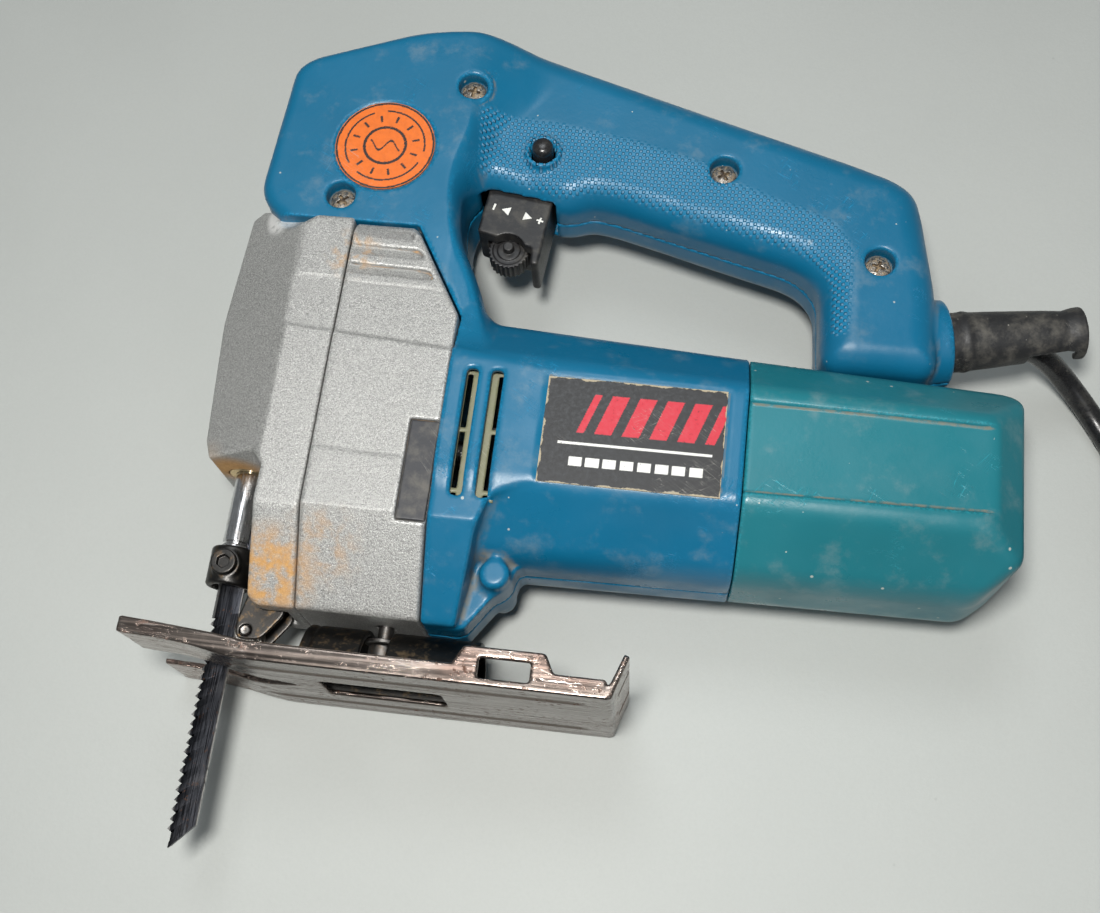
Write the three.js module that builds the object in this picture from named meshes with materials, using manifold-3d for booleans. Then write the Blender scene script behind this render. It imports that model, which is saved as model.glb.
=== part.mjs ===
// A corded jigsaw with a closed handle, lying on its right side as it is put down on a bench.
// Tool axes while building: +X towards the cord, +Y towards the top of the handle, +Z out of the left side.
// x = 0 is the back edge of the blade, y = 0 the underside of the shoe, z = 0 the split between the halves.
// The last group moves the tool so that its right side lies on z = 0. Millimetres throughout.
import * as THREE from "three";
import { mergeVertices } from "three/addons/utils/BufferGeometryUtils.js";
import Module from "manifold-3d";

const wasm = await Module();
wasm.setup();

// Overall places
const SHOE_FRONT_X = -22.4;
const NOSE_X = -19.5;
const REAR_X = 211;
const BLADE_TIP_Y = -46.6;
const HANDLE_TOP_Y = 202.8;
const MIDDLE_Y = 78; // half way between the blade's tip and the rounded top of the handle
const HALF_WIDTH = 30;
const GAP = 0.3; // between pieces that touch
const SPLIT = GAP / 2; // each housing half stops this far from z = 0

// Motor barrel
const MOTOR_Y = 71.5;
const BARREL_FRONT_X = 53.3;
const COVER_SEAM_X = 135.4;
const WALL = 2.6;
const HEAD_HALF = 24;
const GRIP_HALF = 17;

// Gear case and nose
const CASE_HALF = 28;
const CASE_SEAM_X = 18.5;
const CASE_REAR_X = 52.9;
const CASE_BOTTOM_Y = 18;
const CASE_TOP_Y = 132;
const CASE_WALL = 3;

// Drive: pinion on the armature, gear with a crank pin, yoke on the plunger
const MODULE = 1;
const PINION_TEETH = 10;
const GEAR_TEETH = 42;
const GEAR_Y = MOTOR_Y + (MODULE * (PINION_TEETH + GEAR_TEETH)) / 2;
const CRANK_RADIUS = 8;
const YOKE_DROP = 2; // the yoke rests this far below the middle of its stroke
const PLUNGER_X = -5;
const PLUNGER_RADIUS = 3.95;
const SHAFT_RADIUS = 4;

// Shoe
const TILT_Y = 1;
const SOLE = 1.6;
const SHOE_REAR_X = 105;
const FLANGE = 5;
const SADDLE_RADIUS = 16;
const CLAMP_X = 42;

// Case screws: x, y and the z of the face that each is sunk into
const CASE_SCREWS = [
  [12.1, 140.6, HEAD_HALF],
  [45.8, 181.6, HEAD_HALF],
  [123.5, 163.3, GRIP_HALF],
  [170.2, 136.6, GRIP_HALF],
];
const SCREW_SINK = 3;

// Mains cord
const CORD_RADIUS = 3.5;
const BOOT_START = [192.4, 120.6, 0];
const BOOT_TURN = THREE.MathUtils.degToRad(10.4 - 90); // from +Y to the boot's axis
const CORD_ROUTE = [
  [192.7, 120.7, 0],
  [198.6, 121.7, 0],
  [204.5, 122.6, -0.6],
  [210.3, 123.4, -2.3],
  [215.8, 124.0, -5.0],
  [220.8, 124.2, -8.6],
  [225.2, 123.8, -12.6],
  [229.4, 122.5, -16.7],
  [233.6, 120.2, -20.5],
  [237.9, 116.8, -23.6],
  [241.9, 112.5, -25.6],
  [245.4, 107.4, -26.4],
  [248.5, 101.8, -26.4],
  [251.1, 95.3, -26.1],
  [253.0, 88.0, -25.7],
  [254.4, 80.4, -25.4],
];
const COIL_X = 303;
const COIL_Y = 62;
const COIL_RADIUS = 40;
const COIL_PITCH = 7.25;
const COIL_LAYERS = 4;
const COIL_LIFT = 1; // the tie passes under the coil
const TAIL_RADIUS = COIL_RADIUS + COIL_PITCH + CORD_RADIUS + 0.5;
const TAIL_FROM = 285; // degrees round the coil, where the last turn has come off its side
const TAIL_TO = 390;
const TAIL_SPREAD = 9; // its end swings out this far, to leave room for the plug
const TIE_AT = 100;
const PLUG_HALF = [12, 8.5]; // half its width and half its thickness

// ---------------------------------------------------------------- helpers

const colours = {
  blue: [0x1f6fa8, 0.35, 0],
  teal: [0x1f7f86, 0.4, 0],
  alloy: [0x9a9ca0, 0.55, 0.7],
  black: [0x1a1a1c, 0.5, 0],
  steel: [0x8d9096, 0.35, 0.9],
  chrome: [0xb8b2ae, 0.2, 1],
  dark: [0x2b2d30, 0.35, 0.9],
  brass: [0xb08d3c, 0.4, 0.9],
  copper: [0xa85f32, 0.4, 0.9],
  label: [0x202020, 0.6, 0],
  orange: [0xe07818, 0.6, 0],
};

const tool = new THREE.Group();

function solidOf(geometry) {
  const bare = geometry.clone();
  bare.deleteAttribute("normal");
  bare.deleteAttribute("uv");
  const merged = mergeVertices(bare, 1e-4);
  return new wasm.Manifold(
    new wasm.Mesh({
      numProp: 3,
      vertProperties: merged.attributes.position.array,
      triVerts: new Uint32Array(merged.index.array),
    }),
  );
}

function geometryOf(solid) {
  const mesh = solid.getMesh();
  const geometry = new THREE.BufferGeometry();
  geometry.setAttribute("position", new THREE.BufferAttribute(mesh.vertProperties, 3));
  geometry.setIndex(new THREE.BufferAttribute(mesh.triVerts, 1));
  geometry.computeVertexNormals();
  return geometry;
}

function add(name, solid, colour) {
  const [hex, roughness, metalness] = colours[colour];
  const material = new THREE.MeshStandardMaterial({ color: hex, roughness, metalness });
  const mesh = new THREE.Mesh(geometryOf(solid), material);
  mesh.name = name;
  tool.add(mesh);
}

const union = (...solids) => solids.reduce((a, b) => a.add(b));
const without = (solid, ...cuts) => cuts.reduce((a, b) => a.subtract(b), solid);

function shapeOf(points) {
  return new THREE.Shape(points.map(([x, y]) => new THREE.Vector2(x, y)));
}

// The outline moved inwards by a distance, each side parallel to where it was.
function shrunk(points, distance) {
  const area = points.reduce((sum, [x, y], i) => {
    const [nx, ny] = points[(i + 1) % points.length];
    return sum + x * ny - nx * y;
  }, 0);
  const side = Math.sign(area) * distance;
  return points.map(([x, y], i) => {
    const [px, py] = points[(i + points.length - 1) % points.length];
    const [nx, ny] = points[(i + 1) % points.length];
    const before = new THREE.Vector2(x - px, y - py).normalize();
    const after = new THREE.Vector2(nx - x, ny - y).normalize();
    const reach = side / (1 + before.dot(after));
    return [x - (before.y + after.y) * reach, y + (before.x + after.x) * reach];
  });
}

// A closed outline with its corners rounded by arcs of the given radius.
function rounded(points, radius) {
  const shape = new THREE.Shape();
  const count = points.length;
  points.forEach((point, i) => {
    const here = new THREE.Vector2(...point);
    const back = new THREE.Vector2(...points[(i + count - 1) % count]).sub(here);
    const ahead = new THREE.Vector2(...points[(i + 1) % count]).sub(here);
    const reach = Math.min(radius, back.length() / 2.1, ahead.length() / 2.1);
    const start = here.clone().add(back.setLength(reach));
    const end = here.clone().add(ahead.setLength(reach));
    if (i === 0) shape.moveTo(start.x, start.y);
    else shape.lineTo(start.x, start.y);
    shape.quadraticCurveTo(here.x, here.y, end.x, end.y);
  });

  return shape;
}

// Turns of the extrusion direction (+Z of the shape) onto the tool's X and Y.
const ALONG_X = new THREE.Matrix4().set(0, 0, 1, 0, 1, 0, 0, 0, 0, 1, 0, 0, 0, 0, 0, 1);
const ALONG_Y = new THREE.Matrix4().set(0, 1, 0, 0, 0, 0, 1, 0, 1, 0, 0, 0, 0, 0, 0, 1);

// A shape carried from a to b. bevel rounds both ends inwards.
function extruded(shape, a, b, { bevel = 0, segments = 1, curve = 2 } = {}) {
  const geometry = new THREE.ExtrudeGeometry(shape, {
    depth: b - a - 2 * bevel,
    bevelEnabled: bevel > 0,
    bevelThickness: bevel,
    bevelSize: bevel,
    bevelOffset: -bevel,
    bevelSegments: segments,
    curveSegments: curve,
  });
  return geometry.translate(0, 0, a + bevel);
}

const alongZ = (shape, a, b, options) => solidOf(extruded(shape, a, b, options));
// Outline in (y, z), carried along X.
const alongX = (shape, a, b, options) => solidOf(extruded(shape, a, b, options).applyMatrix4(ALONG_X));
// Outline in (z, x), carried along Y.
const alongY = (shape, a, b, options) => solidOf(extruded(shape, a, b, options).applyMatrix4(ALONG_Y));

function box(x0, x1, y0, y1, z0, z1) {
  const geometry = new THREE.BoxGeometry(x1 - x0, y1 - y0, z1 - z0);
  return solidOf(geometry.translate((x0 + x1) / 2, (y0 + y1) / 2, (z0 + z1) / 2));
}

// A turned piece: profile of [radius, distance along the axis], from the axis back to the axis.
function turned(profile, axis, at = [0, 0, 0], sides = 20) {
  const points = profile.map(([r, d]) => new THREE.Vector2(r, d));
  const geometry = new THREE.LatheGeometry(points, sides);
  if (axis === "x") geometry.rotateZ(-Math.PI / 2);
  if (axis === "z") geometry.rotateX(Math.PI / 2);
  return solidOf(geometry.translate(...at));
}

// A plain round bar between two distances along an axis.
function bar(axis, radius, a, b, at, sides = 20) {
  return turned([[0, a], [radius, a], [radius, b], [0, b]], axis, at, sides);
}

function ring(axis, inner, outer, a, b, at, sides = 24) {
  const profile = [[inner, a], [outer, a], [outer, b], [inner, b], [inner, a]];
  return turned(profile, axis, at, sides);
}

function tube(points, radius, sides, steps) {
  const route = new THREE.CatmullRomCurve3(points, false, "centripetal");
  const circle = new THREE.Shape();
  for (let i = 0; i < sides; i += 1) {
    const turn = (2 * Math.PI * (i + 0.5)) / sides;
    const place = [radius * Math.cos(turn), radius * Math.sin(turn)];
    if (i === 0) circle.moveTo(...place);
    else circle.lineTo(...place);
  }
  circle.closePath();
  return solidOf(new THREE.ExtrudeGeometry(circle, { steps, extrudePath: route }));
}

// ---------------------------------------------------------------- outlines

// Front view of the gear case in (z, y), shrunk by a wall: chamfered below so that the shoe can tilt.
function caseSection(wall) {
  const half = CASE_HALF - wall;
  const bottom = CASE_BOTTOM_Y + wall;
  const top = CASE_TOP_Y - wall;
  return [
    [bottom, -13 + wall / 2],
    [bottom, 13 - wall / 2],
    [44 + wall / 2, half],
    [top - 4, half],
    [top, half - 2.5],
    [top, -half + 2.5],
    [top - 4, -half],
    [44 + wall / 2, -half],
  ].map(([y, z]) => [y, z]);
}

// Half of the barrel's front view in (y, z): flat sides, broad chamfers and a narrow top and bottom.
const BARREL_HALF = [[37, 9], [39, 15.5], [54.5, HALF_WIDTH], [88.5, HALF_WIDTH], [103.6, 15.5], [106, 9]];

function barrelSection(inset) {
  const outline = [...BARREL_HALF, ...BARREL_HALF.map(([y, z]) => [y, -z]).reverse()];
  return rounded(shrunk(outline, inset), 2.5);
}

// The motor cover's rear corners, cut off in the side view and in the plan.
const COVER_SIDE = [[100, 30], [189.2, 30], [REAR_X, 50], [REAR_X, 95.6], [206, 101.2], [195, 113], [100, 113]];
const COVER_PLAN = [[-40, 100], [-40, 188.5], [-19.5, REAR_X], [19.5, REAR_X], [40, 188.5], [40, 100]];

const HEAD_OUTLINE = [
  [-12.6, 139],
  [-9.8, 184],
  [-4.5, 189],
  [26.9, 200.7],
  [40.9, HANDLE_TOP_Y],
  [52, 202.4],
  [54, 165],
  [46, 146],
  [30, 132.4],
  [5.5, 132.4],
];

const NECK_OUTLINE = [
  [30, 132.4],
  [36.8, 132.4],
  [BARREL_FRONT_X, 104.5],
  [BARREL_FRONT_X, 90],
  [64, 90],
  [60, 110],
  [46, 148],
  [30, 148],
];

const GRIP_OUTLINE = [
  [30, 190],
  [50, 202.2],
  [69.6, 200.3],
  [121.6, 183.7],
  [174, 167.3],
  [181.5, 162],
  [183, 153],
  [187.2, 129.2],
  [188.6, 106.4],
  [155.6, 106.4],
  [154.3, 128.6],
  [146, 137.6],
  [120, 143.7],
  [88, 152.2],
  [76, 149.5],
  [50, 156],
  [30, 160],
];

const FLANGE_OUTLINE = [
  [BARREL_FRONT_X, 17.8],
  [64.5, 17.8],
  [64.5, 31],
  [77, 43],
  [77, 60],
  [BARREL_FRONT_X, 60],
];

// ---------------------------------------------------------------- housing

// The outside of both halves with wall 0, and the room inside them with a wall.
function housingForm(wall) {
  const front = BARREL_FRONT_X - wall;
  const rear = wall > 0 ? COVER_SEAM_X + wall : COVER_SEAM_X - SPLIT;
  const slab = (outline, radius, half, bevel) =>
    alongZ(rounded(shrunk(outline, wall), radius), wall - half, half - wall, { bevel, curve: 3 });
  const soft = wall > 0 ? 0 : 1;
  const head = slab(HEAD_OUTLINE, 6, HEAD_HALF, 2.5 * soft);
  const neck = alongZ(shapeOf(shrunk(NECK_OUTLINE, wall)), wall - HEAD_HALF, HEAD_HALF - wall);
  const grip = slab(GRIP_OUTLINE, 7, GRIP_HALF, 3.5 * soft);
  const barrel = alongX(barrelSection(wall), front, rear, { curve: 3 });
  const flangeSide = alongZ(shapeOf(shrunk(FLANGE_OUTLINE, wall)), -40, 40);
  const flangeFront = alongX(shapeOf(caseSection(wall - 0.6)), front, 80);
  return union(head, neck, grip, barrel, flangeSide.intersect(flangeFront));
}

function ventSlots() {
  const slots = [60, 66.9].map((x) => {
    const outline = [[x - 1.65, 50], [x + 1.65, 50], [x + 1.65, 86.6], [x - 1.65, 86.6]];
    return alongZ(rounded(outline, 1.6), -40, 40);
  });
  return union(...slots);
}

function cordCollar(radius, from, to) {
  const geometry = new THREE.CylinderGeometry(radius, radius, to - from, 20);
  geometry.translate(0, (from + to) / 2, 0);
  geometry.rotateZ(BOOT_TURN);
  return solidOf(geometry.translate(...BOOT_START));
}

function screwBosses(side) {
  return CASE_SCREWS.map(([x, y, face]) => {
    const reach = face - 1;
    const ends = side > 0 ? [SPLIT, reach] : [-reach, -SPLIT];
    return bar("z", side > 0 ? 6 : 4.6, ...ends, [x, y, 0], 12);
  });
}

function screwHoles(side) {
  return CASE_SCREWS.map(([x, y, face]) => {
    const seat = face - SCREW_SINK - 2.4;
    const hole = bar("z", 2, -14, seat + 1, [x, y, 0], 8);
    return side > 0 ? union(hole, bar("z", 4.3, seat, face + 5, [x, y, 0], 14)) : hole;
  });
}

function housing() {
  const form = housingForm(0);
  const hollow = housingForm(WALL);
  const collar = cordCollar(13, -9, -0.3);
  const throat = cordCollar(9.6, -12, 1);
  const opening = box(50.3, 73.9, 140, 163, -9.2, 9.2); // the trigger's mouth
  const lockHole = bar("z", 3.7, 10, 30, [68.8, 164.8, 0], 20);
  const plateRecess = box(80.5, 130.2, 55, 86.5, HALF_WIDTH - 0.6, 40);
  const badgeRecess = bar("z", 15.4, HEAD_HALF - 0.6, 40, [22.5, 158.3, 0], 32);
  const shell = without(union(form, collar), hollow, throat, opening, ventSlots());
  const left = union(shell, ...screwBosses(1)).intersect(box(-60, 260, 0, 220, SPLIT, 60));
  const right = union(shell, ...screwBosses(-1)).intersect(box(-60, 260, 0, 220, -60, -SPLIT));
  add("housing_left", without(left, lockHole, plateRecess, badgeRecess, ...screwHoles(1)), "blue");
  add("housing_right", without(right, ...screwHoles(-1)), "blue");
}

function motorCover() {
  const taper = (geometry) => {
    const place = geometry.attributes.position;
    for (let i = 0; i < place.count; i += 1) {
      const along = Math.max(0, (place.getX(i) - COVER_SEAM_X) / (REAR_X - COVER_SEAM_X));
      place.setY(i, MOTOR_Y + (place.getY(i) - MOTOR_Y) * (1 - 0.09 * along));
    }
    return geometry;
  };
  const form = (inset) =>
    solidOf(taper(extruded(barrelSection(inset), 100, REAR_X - inset, { curve: 3 }).applyMatrix4(ALONG_X)))
      .intersect(alongZ(shapeOf(shrunk(COVER_SIDE, inset)), -60, 60))
      .intersect(alongY(shapeOf(shrunk(COVER_PLAN, inset)), 0, 150));
  const outer = form(0).intersect(box(COVER_SEAM_X + SPLIT, 260, 0, 140, -40, 40));
  const boss = ring("x", 11.3, 14.5, 171, REAR_X - WALL + 0.5, [0, MOTOR_Y, 0]);
  const shell = without(outer, form(WALL));
  add("motor_cover", union(shell, boss), "teal");
}

function caseScrews() {
  CASE_SCREWS.forEach(([x, y, face], i) => {
    const top = face - SCREW_SINK;
    const profile = [[0, -9], [1.5, -8], [1.5, top - 2.2], [3.7, top - 2.2], [3.7, top - 0.8], [2.6, top], [0, top]];
    const screw = turned(profile, "z", [x, y, 0], 12);
    const cross = union(box(x - 1.9, x + 1.9, y - 0.4, y + 0.4, top - 1, top + 1),
      box(x - 0.4, x + 0.4, y - 1.9, y + 1.9, top - 1, top + 1));
    add(`case_screw_${i + 1}`, without(screw, cross), "steel");
  });
}

function labels() {
  const plate = [[81, 55.5], [129.7, 55.5], [129.7, 86], [81, 86]];
  add("name_plate", alongZ(rounded(plate, 3), HALF_WIDTH - 0.3, HALF_WIDTH - 0.05), "label");
  add("round_badge", bar("z", 15, HEAD_HALF - 0.3, HEAD_HALF - 0.05, [22.5, 158.3, 0], 28), "orange");
}

// ---------------------------------------------------------------- gear case

function gearCase() {
  const side = [
    [CASE_SEAM_X + SPLIT, CASE_BOTTOM_Y],
    [CASE_REAR_X, CASE_BOTTOM_Y],
    [CASE_REAR_X, 103.6],
    [36.2, CASE_TOP_Y],
    [CASE_SEAM_X + SPLIT, CASE_TOP_Y],
  ];
  const room = [[0, 34], [45.5, 34], [45.5, 101], [33.5, 128.8], [0, 128.8]];
  const form = alongZ(shapeOf(side), -CASE_HALF, CASE_HALF).intersect(alongX(shapeOf(caseSection(0)), 0, 60));
  const hollow = alongZ(shapeOf(room), -CASE_HALF, CASE_HALF).intersect(
    alongX(shapeOf(caseSection(CASE_WALL)), 0, 60),
  );
  const bearingSeat = bar("x", 11.3, 44, 60, [0, MOTOR_Y, 0], 24);
  const bushSeat = bar("x", 6.3, 44, 60, [0, GEAR_Y, 0], 20);
  const clampHole = bar("y", 2.4, 0, 32, [CLAMP_X, 0, 0], 16);
  const notch = box(44.6, 60, 42, 71, CASE_HALF - 2.2, CASE_HALF + 1);
  add("gear_case", without(form, hollow, bearingSeat, bushSeat, clampHole, notch), "alloy");
  add("side_insert", box(44.9, CASE_REAR_X, 42.3, 70.7, CASE_HALF - 1.9, CASE_HALF - 0.9), "black");
}

function frontCover() {
  const side = [
    [CASE_SEAM_X - SPLIT, CASE_BOTTOM_Y],
    [CASE_SEAM_X - SPLIT, CASE_TOP_Y],
    [5.5, CASE_TOP_Y],
    [-12.5, 138],
    [-16.5, 136],
    [-19.4, 102],
    [-16, 64],
    [-13.5, 58.5],
    [2, 58.5],
    [6, 54],
    [5.2, 20.5],
    [8, CASE_BOTTOM_Y],
  ];
  const room = [[40, 34], [11, 34], [9, 66], [-12, 66], [-14.5, 102], [-12.5, 128.5], [40, 128.5]];
  const plan = (w) => [[-CASE_HALF + w, 40], [-CASE_HALF + w, 5.5], [-10 + w, NOSE_X + w],
    [10 - w, NOSE_X + w], [CASE_HALF - w, 5.5], [CASE_HALF - w, 40]];
  const front = caseSection(0).map(([y, z]) => [y > 100 ? y + 8 : y, z]);
  const form = alongZ(shapeOf(side), -CASE_HALF, CASE_HALF)
    .intersect(alongX(shapeOf(front), -30, 60))
    .intersect(alongY(shapeOf(plan(0)), 0, 160));
  const hollow = alongZ(shapeOf(room), -CASE_HALF, CASE_HALF)
    .intersect(alongX(shapeOf(caseSection(CASE_WALL)), -30, 60))
    .intersect(alongY(shapeOf(plan(CASE_WALL)), 0, 160));
  const bridge = box(-16.5, 1, 112.5, 122.5, -9, 9);
  const rodWay = bar("y", 6.3, 50, 123, [PLUNGER_X, 0, 0], 24);
  const rodTop = bar("y", 4.6, 120, 132.2, [PLUNGER_X, 0, 0], 20); // the rod rises into the roof
  const bracketPocket = box(0, 15.2, 0, 30, -7.4, 7.4);
  add("front_cover", without(union(without(form, hollow), bridge), rodWay, rodTop, bracketPocket), "alloy");
}

// ---------------------------------------------------------------- drive

function gearOutline(teeth, turn) {
  const pitch = (MODULE * teeth) / 2;
  const root = pitch - 1.15 * MODULE;
  const tip = pitch + 0.85 * MODULE;
  const step = (2 * Math.PI) / teeth;
  const points = [];
  for (let i = 0; i < teeth; i += 1) {
    for (const [radius, share] of [[root, -0.3], [tip, -0.1], [tip, 0.1], [root, 0.3]]) {
      const angle = turn + (i + share) * step;
      points.push([radius * Math.sin(angle), radius * Math.cos(angle)]);
    }
  }
  return points.reverse();
}

// Outline measured from the gear's centre as (z, y); carried along X.
function gear(teeth, turn, a, b, y, bore) {
  const shape = shapeOf(gearOutline(teeth, turn).map(([z, up]) => [up + y, z]).reverse());
  return without(alongX(shape, a, b), bar("x", bore, a - 1, b + 1, [0, y, 0], 16));
}

function drive() {
  const motor = [0, MOTOR_Y, 0];
  const shaft = [[0, 11], [2.5, 11], [2.5, 24], [SHAFT_RADIUS, 24.5], [SHAFT_RADIUS, 182], [0, 182]];
  add("armature_shaft", turned(shaft, "x", motor, 16), "steel");
  add("pinion", gear(PINION_TEETH, 0, 13.5, 22, MOTOR_Y, 2.75), "steel");
  const bore = SHAFT_RADIUS + 0.25;
  add("armature_core", ring("x", bore, 15, 84, 122, motor), "dark");
  add("winding_front", ring("x", bore, 13, 76.5, 83.7, motor, 20), "copper");
  add("winding_rear", ring("x", bore, 13, 122.3, 131, motor, 20), "copper");
  add("commutator", ring("x", bore, 10, 138, 152, motor), "copper");
  const blades = [0, 1, 2, 3, 4, 5, 6, 7].map((i) => {
    const blade = new THREE.BoxGeometry(8, 14, 1.6).translate(0, 15, 0).rotateX((i * Math.PI) / 4);
    return solidOf(blade.translate(65, MOTOR_Y, 0));
  });
  add("cooling_fan", union(ring("x", bore, 9, 58.5, 71, motor, 20), ring("x", 8, 23, 69, 71, motor), ...blades), "black");
  add("front_bearing", ring("x", bore, 11, 45.6, 52.6, motor), "steel");
  add("rear_bearing", ring("x", bore, 11, 172, 179, motor), "steel");

  const wheel = [0, GEAR_Y, 0];
  const z = Math.sqrt(CRANK_RADIUS ** 2 - YOKE_DROP ** 2);
  const crankPin = bar("x", 3, 7, 15, [0, GEAR_Y - YOKE_DROP, z], 16);
  const teeth = gear(GEAR_TEETH, Math.PI / GEAR_TEETH, 14, 21, GEAR_Y, bore);
  add("drive_gear", union(teeth, crankPin), "steel");
  add("gear_shaft", bar("x", SHAFT_RADIUS, 14.5, 52.5, wheel, 16), "steel");
  add("gear_bush", ring("x", bore, 6, 45.6, 52.6, wheel, 20), "brass");
}

function stator() {
  const inset = WALL + GAP;
  const block = alongX(barrelSection(inset), 84, 122, { curve: 3 });
  const bore = bar("x", 15.8, 80, 130, [0, MOTOR_Y, 0], 28);
  const sector = (inner, outer, spread, side) => {
    const shape = new THREE.Shape();
    const middle = side > 0 ? 0 : Math.PI;
    shape.absarc(MOTOR_Y, 0, outer, middle - spread, middle + spread, false);
    shape.absarc(MOTOR_Y, 0, inner, middle + spread, middle - spread, true);
    return shape;
  };
  const pockets = [1, -1].map((s) => alongX(sector(14, 23.4, 1.16, s), 70, 140, { curve: 6 }));
  add("field_stator", without(block, bore, ...pockets), "steel");
  [1, -1].forEach((s) => {
    const coil = alongX(sector(16.4, 23, 1.12, s), 78, 128, { curve: 6 });
    add(s > 0 ? "field_coil_upper" : "field_coil_lower", coil, "copper");
  });
}

function brushes() {
  [1, -1].forEach((s) => {
    const side = s > 0 ? "left" : "right";
    const span = (a, b) => [s * a, s * b].sort((p, q) => p - q);
    const holder = without(
      box(139.5, 150.5, MOTOR_Y - 5.5, MOTOR_Y + 5.5, ...span(13, 26.5)),
      box(141.7, 148.3, MOTOR_Y - 3.3, MOTOR_Y + 3.3, ...span(10, 24.5)),
    );
    add(`brush_holder_${side}`, holder, "brass");
    add(`carbon_brush_${side}`, box(142, 148, MOTOR_Y - 3, MOTOR_Y + 3, ...span(10.4, 21)), "black");
  });
}

// ---------------------------------------------------------------- plunger and blade

function plunger() {
  const at = [PLUNGER_X, 0, 0];
  const slot = box(-9.6, 1, 10, 44.6, -0.95, 0.95);
  add("plunger_rod", without(bar("y", PLUNGER_RADIUS, 26, 121.5, at, 20), slot), "chrome");
  add("lower_bush", ring("y", PLUNGER_RADIUS + 0.2, 6, 58.8, 66.5, at, 20), "brass");
  add("upper_bush", ring("y", PLUNGER_RADIUS + 0.2, 6, 112.8, 122.2, at, 20), "brass");
  const middle = GEAR_Y - YOKE_DROP;
  const plate = without(
    box(0.6, 6, middle - 7, middle + 7, -14.5, 14.5),
    box(0, 7, middle - 3.4, middle + 3.4, -11.6, 11.6),
    bar("y", 6, middle - 9, middle + 9, at, 20),
  );
  const hub = union(bar("y", 6.6, middle - 5, middle + 5, at, 20), box(-3, 3, middle - 5, middle + 5, -4, 4));
  const way = bar("y", PLUNGER_RADIUS + 0.25, middle - 9, middle + 9, at, 20);
  add("scotch_yoke", without(union(hub, plate), way), "steel");

  const collar = ring("y", PLUNGER_RADIUS + 0.25, 6.4, 25, 36.2, at, 20);
  const screwWay = bar("z", 2.2, 2, 9, [PLUNGER_X, 30.5, 0], 14);
  add("blade_collar", without(collar, box(-9.6, 1, 10, 44, -0.95, 0.95), screwWay), "black");
  const screw = turned([[0, 4.6], [1.9, 4.6], [1.9, 6.8], [3.7, 6.8], [3.7, 9], [0, 9]], "z", [PLUNGER_X, 30.5, 0], 16);
  const socket = bar("z", 1.9, 7.6, 10, [PLUNGER_X, 30.5, 0], 6);
  add("collar_screw", without(screw, socket), "dark");
}

function blade() {
  const pitch = 2.54;
  const outline = [[-0.2, 44], [-7.6, 44], [-7.6, 16]];
  for (let y = 16; y > -42; y -= pitch) outline.push([-6.5, y - 0.9], [-7.7, y - pitch]);
  outline.push([-6.4, BLADE_TIP_Y], [0, -39.8]);
  add("blade", alongZ(shapeOf(outline.reverse()), -0.6, 0.6), "dark");
}

function rollerGuide() {
  const arm = [[4.2, 28], [11, 28], [14.6, 18.5], [8.6, 10.2], [1.4, 10.2], [1.2, 15]];
  const body = alongZ(rounded(arm, 2.5), -5.6, 5.6);
  const between = box(-3, 20, 0, 25.4, -4.3, 4.3);
  const pinHole = bar("z", 1.7, -9, 9, [4.2, 12.5, 0], 14);
  const rivetHole = bar("z", 2.2, -9, 9, [7.6, 22.2, 0], 14);
  add("roller_bracket", without(body, between, pinHole, rivetHole), "dark");
  const groove = [[1.7, -3.8], [3.5, -3.8], [3.5, -1.2], [2.9, -0.9], [2.9, 0.9], [3.5, 1.2], [3.5, 3.8], [1.7, 3.8],
    [1.7, -3.8]];
  add("guide_roller", turned(groove, "z", [4.2, 12.5, 0], 14), "steel");
  add("roller_pin", bar("z", 1.4, -6, 6, [4.2, 12.5, 0], 14), "steel");
  const rivet = [[0, -6.3], [1.9, -6.3], [1.9, 5.9], [2.7, 5.9], [2.2, 6.7], [0, 7]];
  add("bracket_rivet", turned(rivet, "z", [7.6, 22.2, 0], 14), "dark");
}

// ---------------------------------------------------------------- shoe

function shoe() {
  const lower = [[SHOE_REAR_X, 0], [18, 0], [11, 0.1], [6, 0.7], [-2, 2.2], [-10, 3.1], [-21.5, 3.6]];
  const upper = lower.map(([x, y]) => [x, y + SOLE]).reverse();
  const tail = [[SHOE_REAR_X + 0.5, SOLE], [109.3, 12], [110.6, 11.4], [107, 0.4]];
  const sheet = alongZ(shapeOf([...lower, ...upper, ...tail]), -HALF_WIDTH, HALF_WIDTH);
  const edge = [
    ...lower, [SHOE_FRONT_X, 8], [-13, 7.4], [2, 6.2], [12, FLANGE],
    [66, FLANGE], [68.5, 10], [89.5, 10], [92, FLANGE], [SHOE_REAR_X, FLANGE],
  ].reverse();
  const sides = [alongZ(shapeOf(edge), HALF_WIDTH - 1.7, HALF_WIDTH), alongZ(shapeOf(edge), -HALF_WIDTH, 1.7 - HALF_WIDTH)];
  const slotPlan = [[-10.5, -40], [10.5, -40], [8.6, -8], [5.5, 6], [0.8, 19.5], [-0.8, 19.5], [-5.5, 6], [-8.6, -8]];
  const bladeSlot = alongY(shapeOf(slotPlan), -5, 30);
  const window_ = alongY(rounded([[-9, 27.5], [9, 27.5], [9, 61], [-9, 61]], 2), -5, 1.9);
  const guideSlot = box(72.7, 86, 2, 7.2, -40, 40);
  add("shoe", without(union(sheet, ...sides), bladeSlot, window_, guideSlot), "chrome");
}

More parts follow.
